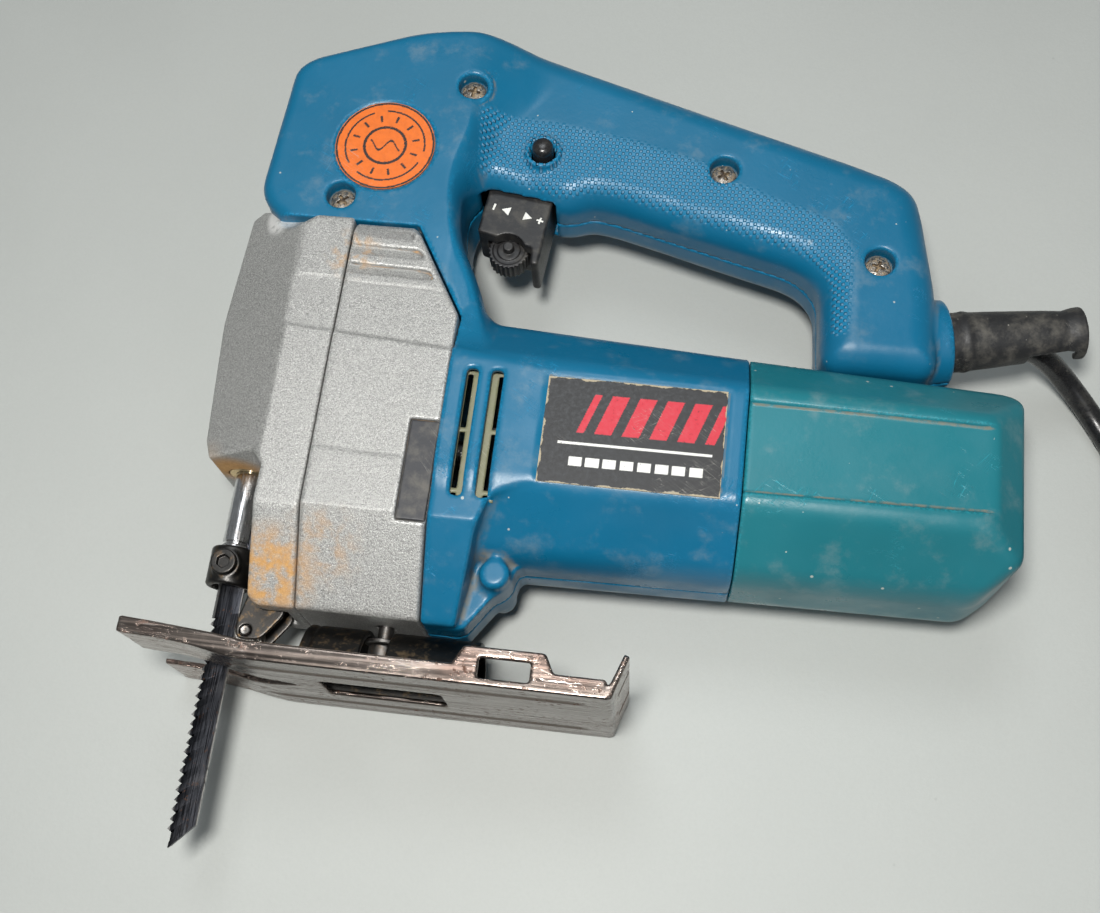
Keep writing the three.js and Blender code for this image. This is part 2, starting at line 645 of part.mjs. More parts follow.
function tiltSaddle() {
  const shape = new THREE.Shape();
  const foot = Math.asin((SOLE + GAP - TILT_Y) / SADDLE_RADIUS);
  const start = Math.PI / 2 - foot;
  shape.absarc(TILT_Y, 0, SADDLE_RADIUS, -start, start, false);
  shape.absarc(TILT_Y, 0, SADDLE_RADIUS - 2, start, -start, true);
  const slot = alongZ(rounded([[CLAMP_X - 3.4, 6.2], [CLAMP_X + 3.4, 6.2], [CLAMP_X + 3.4, 30], [CLAMP_X - 3.4, 30]], 1), -30, 30);
  add("tilt_saddle", without(alongX(shape, 22, 70, { curve: 9 }), slot), "black");
}

// The screw comes up through the window and the saddle's slot into the gear case.
function clampScrew() {
  const seat = TILT_Y + SADDLE_RADIUS - 2 - GAP;
  const washer = ring("y", 2.6, 5.2, seat - 1.4, seat - 0.2, [CLAMP_X, 0, 0], 20);
  add("clamp_washer", washer, "steel");
  const top = seat - 1.6;
  const profile = [[0, top - 3.6], [4, top - 3.6], [4, top], [2.1, top], [2.1, 30], [0, 30]];
  const socket = bar("y", 2, top - 4, top - 1.6, [CLAMP_X, 0, 0], 6);
  add("shoe_clamp_screw", without(turned(profile, "y", [CLAMP_X, 0, 0], 16), socket), "steel");
}

// ---------------------------------------------------------------- switch

const DIAL = [60.8, 138];

function trigger() {
  const side = [
    [53.6, 161.5], [73, 156.5], [72.4, 147.7], [70.8, 131], [68.2, 131.2], [68.2, 136.8], [51, 141],
  ];
  const body = alongZ(rounded(side, 1.2), -8.2, 8.2);
  const dialRoom = bar("z", 7, -3.6, 3.6, [...DIAL, 0], 24);
  const axleHole = bar("z", 1.9, -6, 6, [...DIAL, 0], 12);
  add("trigger", without(body, dialRoom, axleHole), "black");
  const dial = union(bar("z", 6.3, -3.2, 3.2, [...DIAL, 0], 24), bar("z", 1.6, -5.6, 5.6, [...DIAL, 0], 12));
  add("speed_dial", dial, "black");
  const button = [[0, 10.5], [3.2, 10.5], [3.2, 19], [2.6, 20.4], [0, 20.6]];
  add("lock_button", turned(button, "z", [68.8, 164.8, 0], 20), "black");
  add("switch_body", box(54, 84, 168.5, 183, -7.2, 7.2), "black");
  add("cord_clamp", box(166, 178, 118, 121, -8, 8), "black");
}

// ---------------------------------------------------------------- cord

const points3 = (list) => list.map((p) => new THREE.Vector3(...p));

function boot() {
  const profile = [
    [0, -8], [9.3, -8], [9.3, -1], [8.9, 0], [8.4, 12], [7.4, 28], [6.9, 34], [7.7, 37], [7.7, 39.4], [5.6, 39.4],
    [5.2, 22], [4.3, 10], [4.3, 0], [0, 0],
  ];
  const geometry = new THREE.LatheGeometry(profile.map(([r, d]) => new THREE.Vector2(r, d)), 16);
  geometry.rotateZ(BOOT_TURN);
  geometry.translate(...BOOT_START);
  const way = tube(points3(CORD_ROUTE.slice(0, 13)), CORD_RADIUS + 0.9, 8, 12);
  const slit = box(209, 260, 90, 150, -20, -3.2);
  const tipSlit = box(216, 229.5, 90, 124.5, -20, 2);
  add("strain_relief", without(solidOf(geometry), way, slit, tipSlit), "black");
}

function cord() {
  const lead = points3(CORD_ROUTE);
  add("cord_tube", tube(lead, CORD_RADIUS, 8, 20), "black");
  const inner = COIL_RADIUS - COIL_PITCH;
  const outer = COIL_RADIUS + COIL_PITCH;
  const bottom = COIL_LIFT - HALF_WIDTH;
  const top = bottom + COIL_LAYERS * COIL_PITCH;
  const profile = [[inner, bottom], [outer, bottom], [outer, top], [inner, top], [inner, bottom]];
  add("cord_coil", turned(profile, "z", [COIL_X, COIL_Y, 0], 32), "black");

  const thick = 0.8;
  const band = without(
    box(inner - 0.6 - thick, outer + 0.2 + thick, -3, 3, bottom - 0.2 - thick, top + 0.2 + thick),
    box(inner - 0.6, outer + 0.2, -4, 4, bottom - 0.2, top + 0.2),
  );
  add("cord_tie", band.rotate([0, 0, TIE_AT]).translate([COIL_X, COIL_Y, 0]), "black");

  const high = top - COIL_PITCH / 2;
  const low = PLUG_HALF[1] - HALF_WIDTH;
  const tail = [];
  for (let angle = TAIL_FROM; angle <= TAIL_TO; angle += 7) {
    const share = (angle - TAIL_FROM) / (TAIL_TO - TAIL_FROM);
    const turn = (angle * Math.PI) / 180;
    const fall = (1 - Math.cos(Math.PI * share)) / 2;
    const reach = TAIL_RADIUS + TAIL_SPREAD * share ** 2;
    tail.push([
      COIL_X + reach * Math.cos(turn),
      COIL_Y + reach * Math.sin(turn),
      high + (low - high) * fall,
    ]);
  }
  add("cord_tail", tube(points3(tail), CORD_RADIUS, 8, 14), "black");
  const [last, end] = points3(tail.slice(-2));
  plug(end, THREE.MathUtils.radToDeg(Math.atan2(end.y - last.y, end.x - last.x)));
}

// The plug lies flat, in line with the end of the cord.
function plug(end, turn) {
  const [wide, thick] = PLUG_HALF;
  const neck = turned([[0, 0.3], [4.4, 0.3], [6.2, 20], [0, 20]], "x", [0, 0, 0], 16);
  const outline = [[16, -7], [22, -wide], [46, -wide], [46, wide], [22, wide], [16, 7]];
  const body = alongZ(rounded(outline, 5), -thick, thick, { bevel: 1.5, curve: 3 });
  const pins = [-6.35, 6.35].map((y) => box(38, 62.5, y - 0.75, y + 0.75, -3.2, 3.2));
  const pockets = [-6.35, 6.35].map((y) => box(37.7, 50, y - 1.05, y + 1.05, -3.5, 3.5));
  const hole = bar("y", 1.5, -20, 20, [58.5, 0, 0], 12);
  const place = (solid) => solid.rotate([0, 0, turn]).translate(end.toArray());
  add("plug_body", place(without(union(neck, body), ...pockets)), "black");
  pins.forEach((pin, i) => add(`plug_pin_${i + 1}`, place(without(pin, hole)), "brass"));
}

cord();
housing();
motorCover();
caseScrews();
labels();
gearCase();
frontCover();
drive();
stator();
brushes();
plunger();
blade();
rollerGuide();
shoe();
tiltSaddle();
clampScrew();
trigger();
boot();

const part = new THREE.Group();
tool.position.set(-(SHOE_FRONT_X + REAR_X) / 2, -MIDDLE_Y, HALF_WIDTH);
part.add(tool);

export default part;
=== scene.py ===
"""A used corded jigsaw lying on its right side: every visible piece, its finishes, the stage and
the camera.

Shapes are worked out in the tool's own axes, in millimetres: x = 0 at the blade's back edge, y = 0
under the shoe, z = 0 at the split between the housing halves. place() turns them into the frame's
metres.
"""

import math
from functools import reduce

import bmesh
import bpy
import numpy as np
from bpy.props import FloatProperty, FloatVectorProperty, PointerProperty
from bpy.types import Operator, Panel, PropertyGroup
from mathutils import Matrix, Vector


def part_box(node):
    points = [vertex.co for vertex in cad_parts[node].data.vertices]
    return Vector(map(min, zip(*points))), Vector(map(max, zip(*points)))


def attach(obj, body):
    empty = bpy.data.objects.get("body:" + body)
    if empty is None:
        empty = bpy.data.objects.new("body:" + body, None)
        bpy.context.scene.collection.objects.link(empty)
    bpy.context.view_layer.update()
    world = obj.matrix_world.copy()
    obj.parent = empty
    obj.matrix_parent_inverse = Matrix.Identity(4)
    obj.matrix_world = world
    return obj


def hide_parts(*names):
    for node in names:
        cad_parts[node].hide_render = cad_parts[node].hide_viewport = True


bl_info = {
    "name": "Jigsaw builder",
    "version": (1, 0, 0),
    "blender": (4, 5, 0),
    "location": "3D View > Sidebar > Jigsaw",
    "description": "Builds a used corded jigsaw around its packed frame",
    "category": "Object",
}

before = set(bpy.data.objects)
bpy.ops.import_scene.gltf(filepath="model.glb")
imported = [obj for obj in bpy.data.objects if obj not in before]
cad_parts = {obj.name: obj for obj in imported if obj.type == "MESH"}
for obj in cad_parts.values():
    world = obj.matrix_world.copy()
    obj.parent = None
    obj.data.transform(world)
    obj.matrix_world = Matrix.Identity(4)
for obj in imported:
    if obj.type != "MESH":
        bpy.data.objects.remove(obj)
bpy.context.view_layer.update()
MM = 0.001

# The tool's axes in the frame: the shoe's front edge and the blade's back edge give the place.
SHOE_FRONT = -22.4
ORIGIN = np.array([
    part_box("shoe")[0].x / MM - SHOE_FRONT,
    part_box("shoe")[0].y / MM,
    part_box("shoe")[0].z / MM + 30.0,
])

# Where the camera stands, in metres, and its turn in degrees.
CAMERA_PLACE = (0.02336806, -0.14015787, 0.40082928)
CAMERA_TURN = (20.5581, 3.0653, 6.9443)
FLOOR_HALF = 1.6
FLOOR_POINTS = 81

MOTOR_Y = 71.5
HEAD_HALF = 24.0
GRIP_HALF = 17.0
HALF_WIDTH = 30.0
SEAM_X = 18.5
CASE_REAR = 52.9
BARREL_FRONT = 53.3
COVER_X = 135.4
REAR_X = 211.0
SPLIT = 0.15
CASE_SCREWS = [
    (12.1, 140.6, HEAD_HALF), (45.8, 181.6, HEAD_HALF), (123.5, 163.3, GRIP_HALF),
    (170.2, 136.6, GRIP_HALF)]
PLUNGER_X = -5.0
DIAL = (60.8, 138.0)
LOCK = (68.8, 164.8)
BOOT_START = np.array([192.4, 120.6, 0.0])
BOOT_TURN = math.radians(10.4)
CORD_RADIUS = 3.5
CORD_ROUTE = [
    (192.7, 120.7, 0), (198.6, 121.7, 0), (204.5, 122.6, -0.6), (210.3, 123.4, -2.3),
    (215.8, 124.0, -5.0), (220.8, 124.2, -8.6), (225.2, 123.8, -12.6), (229.4, 122.5, -16.7),
    (233.6, 120.2, -20.5), (237.9, 116.8, -23.6), (241.9, 112.5, -25.6), (245.4, 107.4, -26.4),
    (248.5, 101.8, -26.4), (251.1, 95.3, -26.1), (253.0, 88.0, -25.7), (254.4, 80.4, -25.4)]
COIL_CENTRE = (303.0, 62.0)
COIL_RADIUS = 40.0
COIL_PITCH = 7.25
COIL_LIFT = 1.0
TAIL_RADIUS = 51.25
TAIL_SPREAD = 9.0
PIN_REACH = 6.35
BADGE_CENTRE = (22.5, 158.3)


# ---------------------------------------------------------------- fields of signed distances,
# which are negative inside a shape


def outline(points, radius=0.0, steps=6):
    """The outline with each corner cut back by radius and bridged by a quadratic arc of steps
    points."""
    if radius == 0:
        return np.array(points, float)
    p = np.array(points, float)
    back, ahead = np.roll(p, 1, 0) - p, np.roll(p, -1, 0) - p
    long_back = np.linalg.norm(back, axis=1, keepdims=True)
    long_ahead = np.linalg.norm(ahead, axis=1, keepdims=True)
    reach = np.minimum(radius, np.minimum(long_back, long_ahead) / 2.05)
    start, end = p + back / long_back * reach, p + ahead / long_ahead * reach
    t = np.linspace(0, 1, steps)[None, :, None]
    arcs = (1 - t) ** 2 * start[:, None] + 2 * t * (1 - t) * p[:, None] + t**2 * end[:, None]
    return arcs.reshape(-1, 2)


def polygon(x, y, points, radius=0.0):
    """Distance to a closed outline with rounded corners: the least distance to a side, negative
    where a ray from the point crosses an odd number of them."""
    points = outline(points, radius)
    best = np.float32(1e9)
    inside = np.zeros(np.broadcast(x, y).shape, bool)
    for (ax, ay), (bx, by) in zip(
        points.astype(np.float32), np.roll(points, -1, 0).astype(np.float32)
    ):
        ex, ey = bx - ax, by - ay
        size = ex * ex + ey * ey
        if size < 1e-8:
            continue
        px, py = x - ax, y - ay
        t = np.clip((px * ex + py * ey) / size, 0, 1)
        best = np.minimum(best, (px - ex * t) ** 2 + (py - ey * t) ** 2)
        crosses = (ay > y) != (by > y)
        if abs(ey) > 1e-9:
            inside ^= crosses & (px < ex * py / ey)
    return np.where(inside, -1, 1).astype(np.float32) * np.sqrt(best)


def carried(flat, depth, edge=0.0):
    """A flat shape carried along a third axis, where depth is the distance past its ends, edges
    rounded."""
    a, b = flat + edge, depth + edge
    outside = np.sqrt(np.maximum(a, 0) ** 2 + np.maximum(b, 0) ** 2)
    return outside + np.minimum(np.maximum(a, b), 0) - edge


def between(v, low, high):
    return np.abs(v - (low + high) / 2) - (high - low) / 2


def block(x, y, z, low, high, edge=0.0):
    """A box from low to high with its edges rounded."""
    parts = [between(v, a, b) + edge for v, a, b in zip((x, y, z), low, high)]
    outside = np.sqrt(sum(np.maximum(p, 0) ** 2 for p in parts))
    return outside + np.minimum(np.maximum(np.maximum(parts[0], parts[1]), parts[2]), 0) - edge


def disc(u, v, centre, radius):
    return np.sqrt((u - centre[0]) ** 2 + (v - centre[1]) ** 2) - radius


def join(a, b, blend=0.0):
    """The union, with a fillet about blend wide where the two meet."""
    if blend == 0:
        return np.minimum(a, b)
    h = np.maximum(blend - np.abs(a - b), 0) / blend
    return np.minimum(a, b) - h * h * blend / 4


def common(a, b, blend=0.0):
    return -join(-a, -b, blend)


def cut(a, b, blend=0.0):
    """a without b, with the new edge rounded."""
    return -join(-a, b, blend)


def within(*fields):
    """What lies in all of the fields, with sharp edges."""
    return reduce(np.maximum, fields)


def either(*fields):
    """What lies in any of the fields, with sharp edges."""
    return reduce(np.minimum, fields)


# ---------------------------------------------------------------- meshes


def place(points):
    return (np.asarray(points, float) + ORIGIN) * MM


def make(name, points, faces):
    """A mesh object of grid points in tool millimetres. faces is a list of index arrays, all rows
    of one length."""
    mesh = bpy.data.meshes.new(name)
    sizes = np.concatenate([np.full(len(f), f.shape[1]) for f in faces])
    loops = np.concatenate([f.ravel() for f in faces])
    mesh.vertices.add(len(points))
    mesh.vertices.foreach_set("co", place(points).astype(np.float32).ravel())
    mesh.loops.add(len(loops))
    mesh.loops.foreach_set("vertex_index", loops.astype(np.int32))
    mesh.polygons.add(len(sizes))
    mesh.polygons.foreach_set("loop_start", (np.cumsum(sizes) - sizes).astype(np.int32))
    mesh.update(calc_edges=True)
    mesh.validate()
    mesh.polygons.foreach_set("use_smooth", np.ones(len(mesh.polygons), bool))
    piece = bpy.data.objects.new(name, mesh)
    bpy.context.scene.collection.objects.link(piece)
    return piece


def note(piece, name, values):
    """Keeps one number per point on the piece, for its material."""
    kept = piece.data.attributes.new(name, "FLOAT", "POINT")
    kept.data.foreach_set("value", np.asarray(values, np.float32).ravel())


CORNERS = [(i, j, k) for i in (0, 1) for j in (0, 1) for k in (0, 1)]
EDGES = [
    (a, b) for a in CORNERS for b in CORNERS if sum(
        np.subtract(b, a)) == 1 and min(np.subtract(b, a)) == 0]


def cell_points(values, cells):
    """The mean of the places where the field is zero on each cell's twelve edges, in grid steps."""
    total = np.zeros((len(cells), 3), np.float32)
    count = np.zeros(len(cells), np.float32)
    i, j, k = cells.T
    for a, b in EDGES:
        va = values[i + a[0], j + a[1], k + a[2]]
        vb = values[i + b[0], j + b[1], k + b[2]]
        hit = (va < 0) != (vb < 0)
        t = np.where(hit, va / np.where(hit, va - vb, 1), 0)
        spot = np.array(a, np.float32) + t[:, None] * np.subtract(b, a).astype(np.float32)
        total += spot * hit[:, None]
        count += hit
    return cells + total / count[:, None]


def slope(field, p, reach):
    """The field's gradient at the points p, from central differences."""
    out = np.empty_like(p)
    for axis in range(3):
        step = np.zeros(3, np.float32)
        step[axis] = reach
        ahead, back = p + step, p - step
        out[:, axis] = field(*ahead.T) - field(*back.T)
    return out / (2 * reach)


def skinned(name, field, low, high, step, settle=2):
    """The closed surface where a field is zero: one point per grid cell that it crosses, joined in
    quads across each crossed grid edge, then moved down the field's slope on to the surface. The
    field's curvature over 1 mm is kept as "edge": above 0 on edges that stand out, below 0 in
    corners."""
    axes = [
        np.arange(a - 1.5 * step, b + 2.5 * step, step, dtype=np.float32) for a, b in zip(low, high)
    ]
    x, y, z = axes[0][:, None, None], axes[1][None, :, None], axes[2][None, None, :]
    values = np.broadcast_to(field(x, y, z), [len(a) for a in axes]).astype(np.float32)
    inside = values < 0
    counted = sum(
        inside[i:i - 1 or None, j:j - 1 or None, k:k - 1 or None].astype(np.int8) for i, j,
        k in CORNERS)
    cells = np.argwhere((counted > 0) & (counted < 8))
    number = np.full(counted.shape, -1, np.int32)
    number[tuple(cells.T)] = np.arange(len(cells))
    start = np.array([a[0] for a in axes], np.float32)
    points = cell_points(values, cells).astype(np.float32) * step + start
    quads = []
    for axis in range(3):
        u, v = (axis + 1) % 3, (axis + 2) % 3
        here = np.take(inside, range(inside.shape[axis] - 1), axis)
        there = np.take(inside, range(1, inside.shape[axis]), axis)
        edge = np.argwhere(here != there)
        edge = edge[(edge[:, u] > 0) & (edge[:, v] > 0)]
        du, dv = np.eye(3, dtype=int)[u], np.eye(3, dtype=int)[v]
        ring = np.stack([number[tuple((edge - s).T)] for s in (du + dv, dv, 0 * du, du)], 1)
        out = here[tuple(edge.T)]
        quads.append(np.where(out[:, None], ring, ring[:, ::-1]))
    for _ in range(settle):
        grad = slope(field, points, 0.3 * step)
        size = np.maximum((grad**2).sum(1), 0.2)
        move = -(field(*points.T) / size)[:, None] * grad
        points = points + np.clip(move, -0.5 * step, 0.5 * step)
    piece = make(name, points, [np.concatenate(quads)])
    reach = np.float32(1.0)
    around = -6 * field(*points.T)
    for axis in range(3):
        for side in (-reach, reach):
            moved = points.copy()
            moved[:, axis] += side
            around = around + field(*moved.T)
    note(piece, "edge", around)
    return piece


def grid_faces(rows, columns, wrap_rows=False, wrap_columns=True):
    """Quads between the points of a grid of rows and columns."""
    r = np.arange(rows if wrap_rows else rows - 1)
    c = np.arange(columns if wrap_columns else columns - 1)
    r, c = (a.ravel() for a in np.meshgrid(r, c, indexing="ij"))
    r2, c2 = (r + 1) % rows, (c + 1) % columns
    return np.stack([r * columns + c, r * columns + c2, r2 * columns + c2, r2 * columns + c], 1)


def turned(name, profile, axis, at, sides=48):
    """A profile of (radius, distance along the axis) turned about that axis. Ends on the axis are
    closed."""
    p = np.array(profile, float)
    angle = np.linspace(0, 2 * np.pi, sides, endpoint=False)
    out = p[:, :1] * np.cos(angle), p[:, :1] * np.sin(angle), np.repeat(p[:, 1:], sides, 1)
    order = {"x": (2, 0, 1), "y": (1, 2, 0), "z": (0, 1, 2)}[axis]
    points = np.stack([out[i] for i in order], 2).reshape(-1, 3) + np.array(at)
    closed = np.allclose(p[0], p[-1])
    rows = len(p) - 1 if closed else len(p)
    piece = make(name, points[: rows * sides], [grid_faces(rows, sides, closed)])
    return tidy(piece, 30)


def tidy(piece, angle=30):
    """Merges doubled points, turns the faces outwards and shades it smooth up to an angle."""
    work = bmesh.new()
    work.from_mesh(piece.data)
    bmesh.ops.remove_doubles(work, verts=work.verts, dist=1e-6)
    bmesh.ops.holes_fill(work, edges=work.edges, sides=0)
    bmesh.ops.recalc_face_normals(work, faces=work.faces)
    work.to_mesh(piece.data)
    work.free()
    piece.data.set_sharp_from_angle(angle=math.radians(angle))
    return piece


def swept(name, path, radius, sides=24):
    """A round tube: a circle carried along a smooth path, its frame turned as little as
    possible."""
    path = np.array(path, float)
    ahead = np.gradient(path, axis=0)
    ahead /= np.linalg.norm(ahead, axis=1, keepdims=True)
    across = np.zeros_like(path)
    side = np.cross(ahead[0], [0.0, 0.0, 1.0])
    for i, direction in enumerate(ahead):
        side = side - direction * side.dot(direction)
        side /= np.linalg.norm(side)
        across[i] = side
    up = np.cross(ahead, across)
    angle = np.linspace(0, 2 * np.pi, sides, endpoint=False)[None, :, None]
    r = np.broadcast_to(np.asarray(radius, float), len(path))[:, None, None]
    points = path[:, None] + r * (across[:, None] * np.cos(angle) + up[:, None] * np.sin(angle))
    return tidy(make(name, points.reshape(-1, 3), [grid_faces(len(path), sides)]), 45)


def smooth_path(points, step):
    """A curve through the points (a cubic through each four), with points about step apart."""
    p = np.array(points, float)
    p = np.vstack([2 * p[0] - p[1], p, 2 * p[-1] - p[-2]])
    out = []
    for a, b, c, d in zip(p, p[1:], p[2:], p[3:]):
        n = max(2, int(np.linalg.norm(c - b) / step))
        t = np.linspace(0, 1, n, endpoint=False)[:, None]
        out.append(
            0.5 * (
                2 * b + (c - a) * t + (
                    2 * a - 5 * b + 4 * c - d) * t**2 + (3 * b - a - 3 * c + d) * t**3))
    return np.vstack([*out, p[-2:-1]])


# ---------------------------------------------------------------- finishes


class Finish:
    """A material's nodes. Patterns read the tool's millimetres, so noise(0.5) has features about 2
    mm across."""

    def __init__(self, name, roughness=0.5, metallic=0.0, coat=0.0, specular=0.5):
        self.material = bpy.data.materials.new(name)
        self.material.use_nodes = True
        self.tree = self.material.node_tree
        self.shader = self.tree.nodes["Principled BSDF"]
        self.shader.inputs["Roughness"].default_value = roughness
        self.shader.inputs["Metallic"].default_value = metallic
        self.shader.inputs["Coat Weight"].default_value = coat
        self.shader.inputs["Specular IOR Level"].default_value = specular
        here = self.tree.nodes.new("ShaderNodeTexCoord").outputs["Object"]
        self.place = self.mapped(here, (1 / MM,) * 3, tuple(-ORIGIN))

    def node(self, kind, *inputs, **settings):
        made = self.tree.nodes.new("ShaderNode" + kind)
        for key, value in settings.items():
            setattr(made, key, value)
        for i, value in enumerate(inputs):
            self.feed(made.inputs[i], value)
        return made

    def feed(self, socket, value):
        if isinstance(value, bpy.types.NodeSocket):
            self.tree.links.new(value, socket)
        elif value is not None:
            if hasattr(
                socket.default_value, "__len__"
            ) and len(socket.default_value) == 4 and len(value) == 3:
                value = (*value, 1.0)
            socket.default_value = value

    def mapped(self, place, scale, location=(0, 0, 0), turn=(0, 0, 0)):
        return self.node("Mapping", place, location, turn, scale).outputs[0]

    def noise(self, scale, detail=3.0, roughness=0.55, stretch=None, turn=0.0):
        place = self.place
        if stretch is not None:
            place = self.mapped(place, (1, 1, 1), turn=(0, 0, turn))
            place = self.mapped(place, stretch)
        made = self.node("TexNoise")
        self.feed(made.inputs["Vector"], place)
        made.inputs["Scale"].default_value = scale
        made.inputs["Detail"].default_value = detail
        made.inputs["Roughness"].default_value = roughness
        return made.outputs[0]

    def dots(self, scale, size, threshold):
        """Sparse round specks: 1 within size of a random few of the cell points."""
        made = self.node("TexVoronoi")
        self.feed(made.inputs["Vector"], self.place)
        made.inputs["Scale"].default_value = scale
        near = self.ramp(made.outputs["Distance"], size, size * 0.6)
        few = self.ramp(
            self.node("SeparateColor", made.outputs["Color"]).outputs[0], threshold,
            threshold + 0.01)
        return self.math("MULTIPLY", near, few)

    def math(self, operation, a, b=0.0, clamp=False):
        return self.node("Math", a, b, operation=operation, use_clamp=clamp).outputs[0]

    def ramp(self, value, low, high, start=0.0, end=1.0):
        return self.node(
            "MapRange", value, low, high, start, end, interpolation_type="SMOOTHSTEP").outputs[0]

    def blend(self, share, a, b):
        made = self.node("Mix", data_type="RGBA")
        for i, value in ((0, share), (6, a), (7, b)):
            self.feed(made.inputs[i], value)
        return made.outputs[2]

    def kept(self, name):
        return self.node("Attribute", attribute_name=name).outputs["Fac"]

    def spot(self, centre, near, far):
        """1 within near of a place, falling to 0 at far."""
        made = self.node("VectorMath", self.place, centre, operation="DISTANCE")
        return self.ramp(made.outputs["Value"], far, near)

    def hairlines(self, angle, fine, width, cover):
        """Thin scratches along a direction: the middle of a drawn-out noise, kept where a second
        noise is high."""
        lines = self.noise(fine, 1.0, stretch=(0.05, 1.0, 1.0), turn=angle)
        off = self.math("ABSOLUTE", self.math("SUBTRACT", lines, 0.5))
        some = self.ramp(self.noise(0.06, 2.0), 1 - cover, 1.05 - cover)
        return self.math("MULTIPLY", self.ramp(off, width, 0.0), some)

    def most(self, *shares):
        out = shares[0]
        for share in shares[1:]:
            out = self.math("MAXIMUM", out, share)
        return out

    def set(self, colour=None, roughness=None, bumps=(), metallic=None):
        """Links what varies. bumps is a list of (height, depth in mm)."""
        for name, value in (
            ("Base Color", colour), ("Roughness", roughness), ("Metallic", metallic)
        ):
            if value is not None:
                self.feed(self.shader.inputs[name], value)
        normal = None
        for height, depth in bumps:
            made = self.node("Bump")
            made.inputs["Strength"].default_value = 1.0
            made.inputs["Distance"].default_value = depth * MM
            self.feed(made.inputs["Height"], height)
            if normal is not None:
                self.feed(made.inputs["Normal"], normal)
            normal = made.outputs[0]
        if normal is not None:
            self.feed(self.shader.inputs["Normal"], normal)
        return self.material


def shade(colour, factor):
    return tuple(min(1.0, c * factor) for c in colour[:3])


def moulded(name, colour, dirt, grip=False):
    """Glossy moulded plastic with a fine ripple, scuffs, hairlines, pale specks and dirt in the
    corners. With grip, the dotted grip carries a painted highlight over it and painted
    highlights on its pimples."""
    f = Finish(name, 0.34, specular=0.38)
    broad, fine = f.noise(0.025, 3.0), f.noise(1.4, 2.0)
    base = f.blend(broad, shade(colour, 0.82), shade(colour, 1.2))
    edge = f.kept("edge")
    scuffs = f.most(
        f.hairlines(0.5, 0.9, 0.012, 0.42), f.hairlines(-0.9, 0.7, 0.01, 0.4),
        f.hairlines(1.9, 1.1, 0.01, 0.4))
    rub = f.math("MULTIPLY", f.ramp(edge, 0.25, 1.1), f.ramp(fine, 0.42, 0.62))
    base = f.blend(f.math("MULTIPLY", scuffs, 0.35), base, shade(colour, 2.6))
    base = f.blend(f.math("MULTIPLY", rub, 0.45), base, shade(colour, 2.0))
    grime = f.math("MULTIPLY", f.ramp(edge, -0.12, -0.7), f.ramp(f.noise(0.35, 4.0), 0.3, 0.6))
    base = f.blend(f.math("MULTIPLY", grime, 0.7), base, dirt)
    specks = f.math("MAXIMUM", f.dots(0.16, 0.09, 0.8), f.dots(0.35, 0.1, 0.93))
    base = f.blend(f.math("MULTIPLY", specks, 0.6), base, (0.62, 0.6, 0.52))
    film = f.ramp(f.noise(0.09, 5.0, 0.65), 0.52, 0.8, 0.0, 0.25)
    base = f.blend(film, base, (0.3, 0.33, 0.32))
    rough = f.math(
        "ADD", f.ramp(f.noise(0.07, 4.0), 0.3, 0.75, 0.27, 0.46), f.math("MULTIPLY", grime, 0.35))
    bumps = [(f.noise(0.55, 2.0), 0.03), (fine, 0.012), (scuffs, -0.03)]
    if grip:
        spot = f.spot((149.8, 141.3, 17), 1.5, 1.9)
        base = f.blend(spot, base, (0.72, 0.7, 0.6))
        axes = f.node("SeparateXYZ", f.place).outputs
        waves = [f.math("SINE", f.math("MULTIPLY", axis, 2 * math.pi / 2.1)) for axis in axes[:2]]
        pimples = f.math("MULTIPLY", f.ramp(f.math("MULTIPLY", *waves), -0.1, 0.8), f.kept("grip"))
        bumps.append((pimples, 0.5))
        # Painted highlight: the dotted grip area is lightened to half again the plastic's colour.
        base = f.blend(f.math("MULTIPLY", f.kept("grip"), 0.7), base, shade(colour, 1.5))
        # Painted highlights: the tops of the grip's pimples are paled towards white.
        base = f.blend(
            f.math("MULTIPLY", pimples, 0.6), base,
            tuple(0.55 * c + 0.14 for c in shade(colour, 1.8)))
    return f.set(base, rough, bumps)


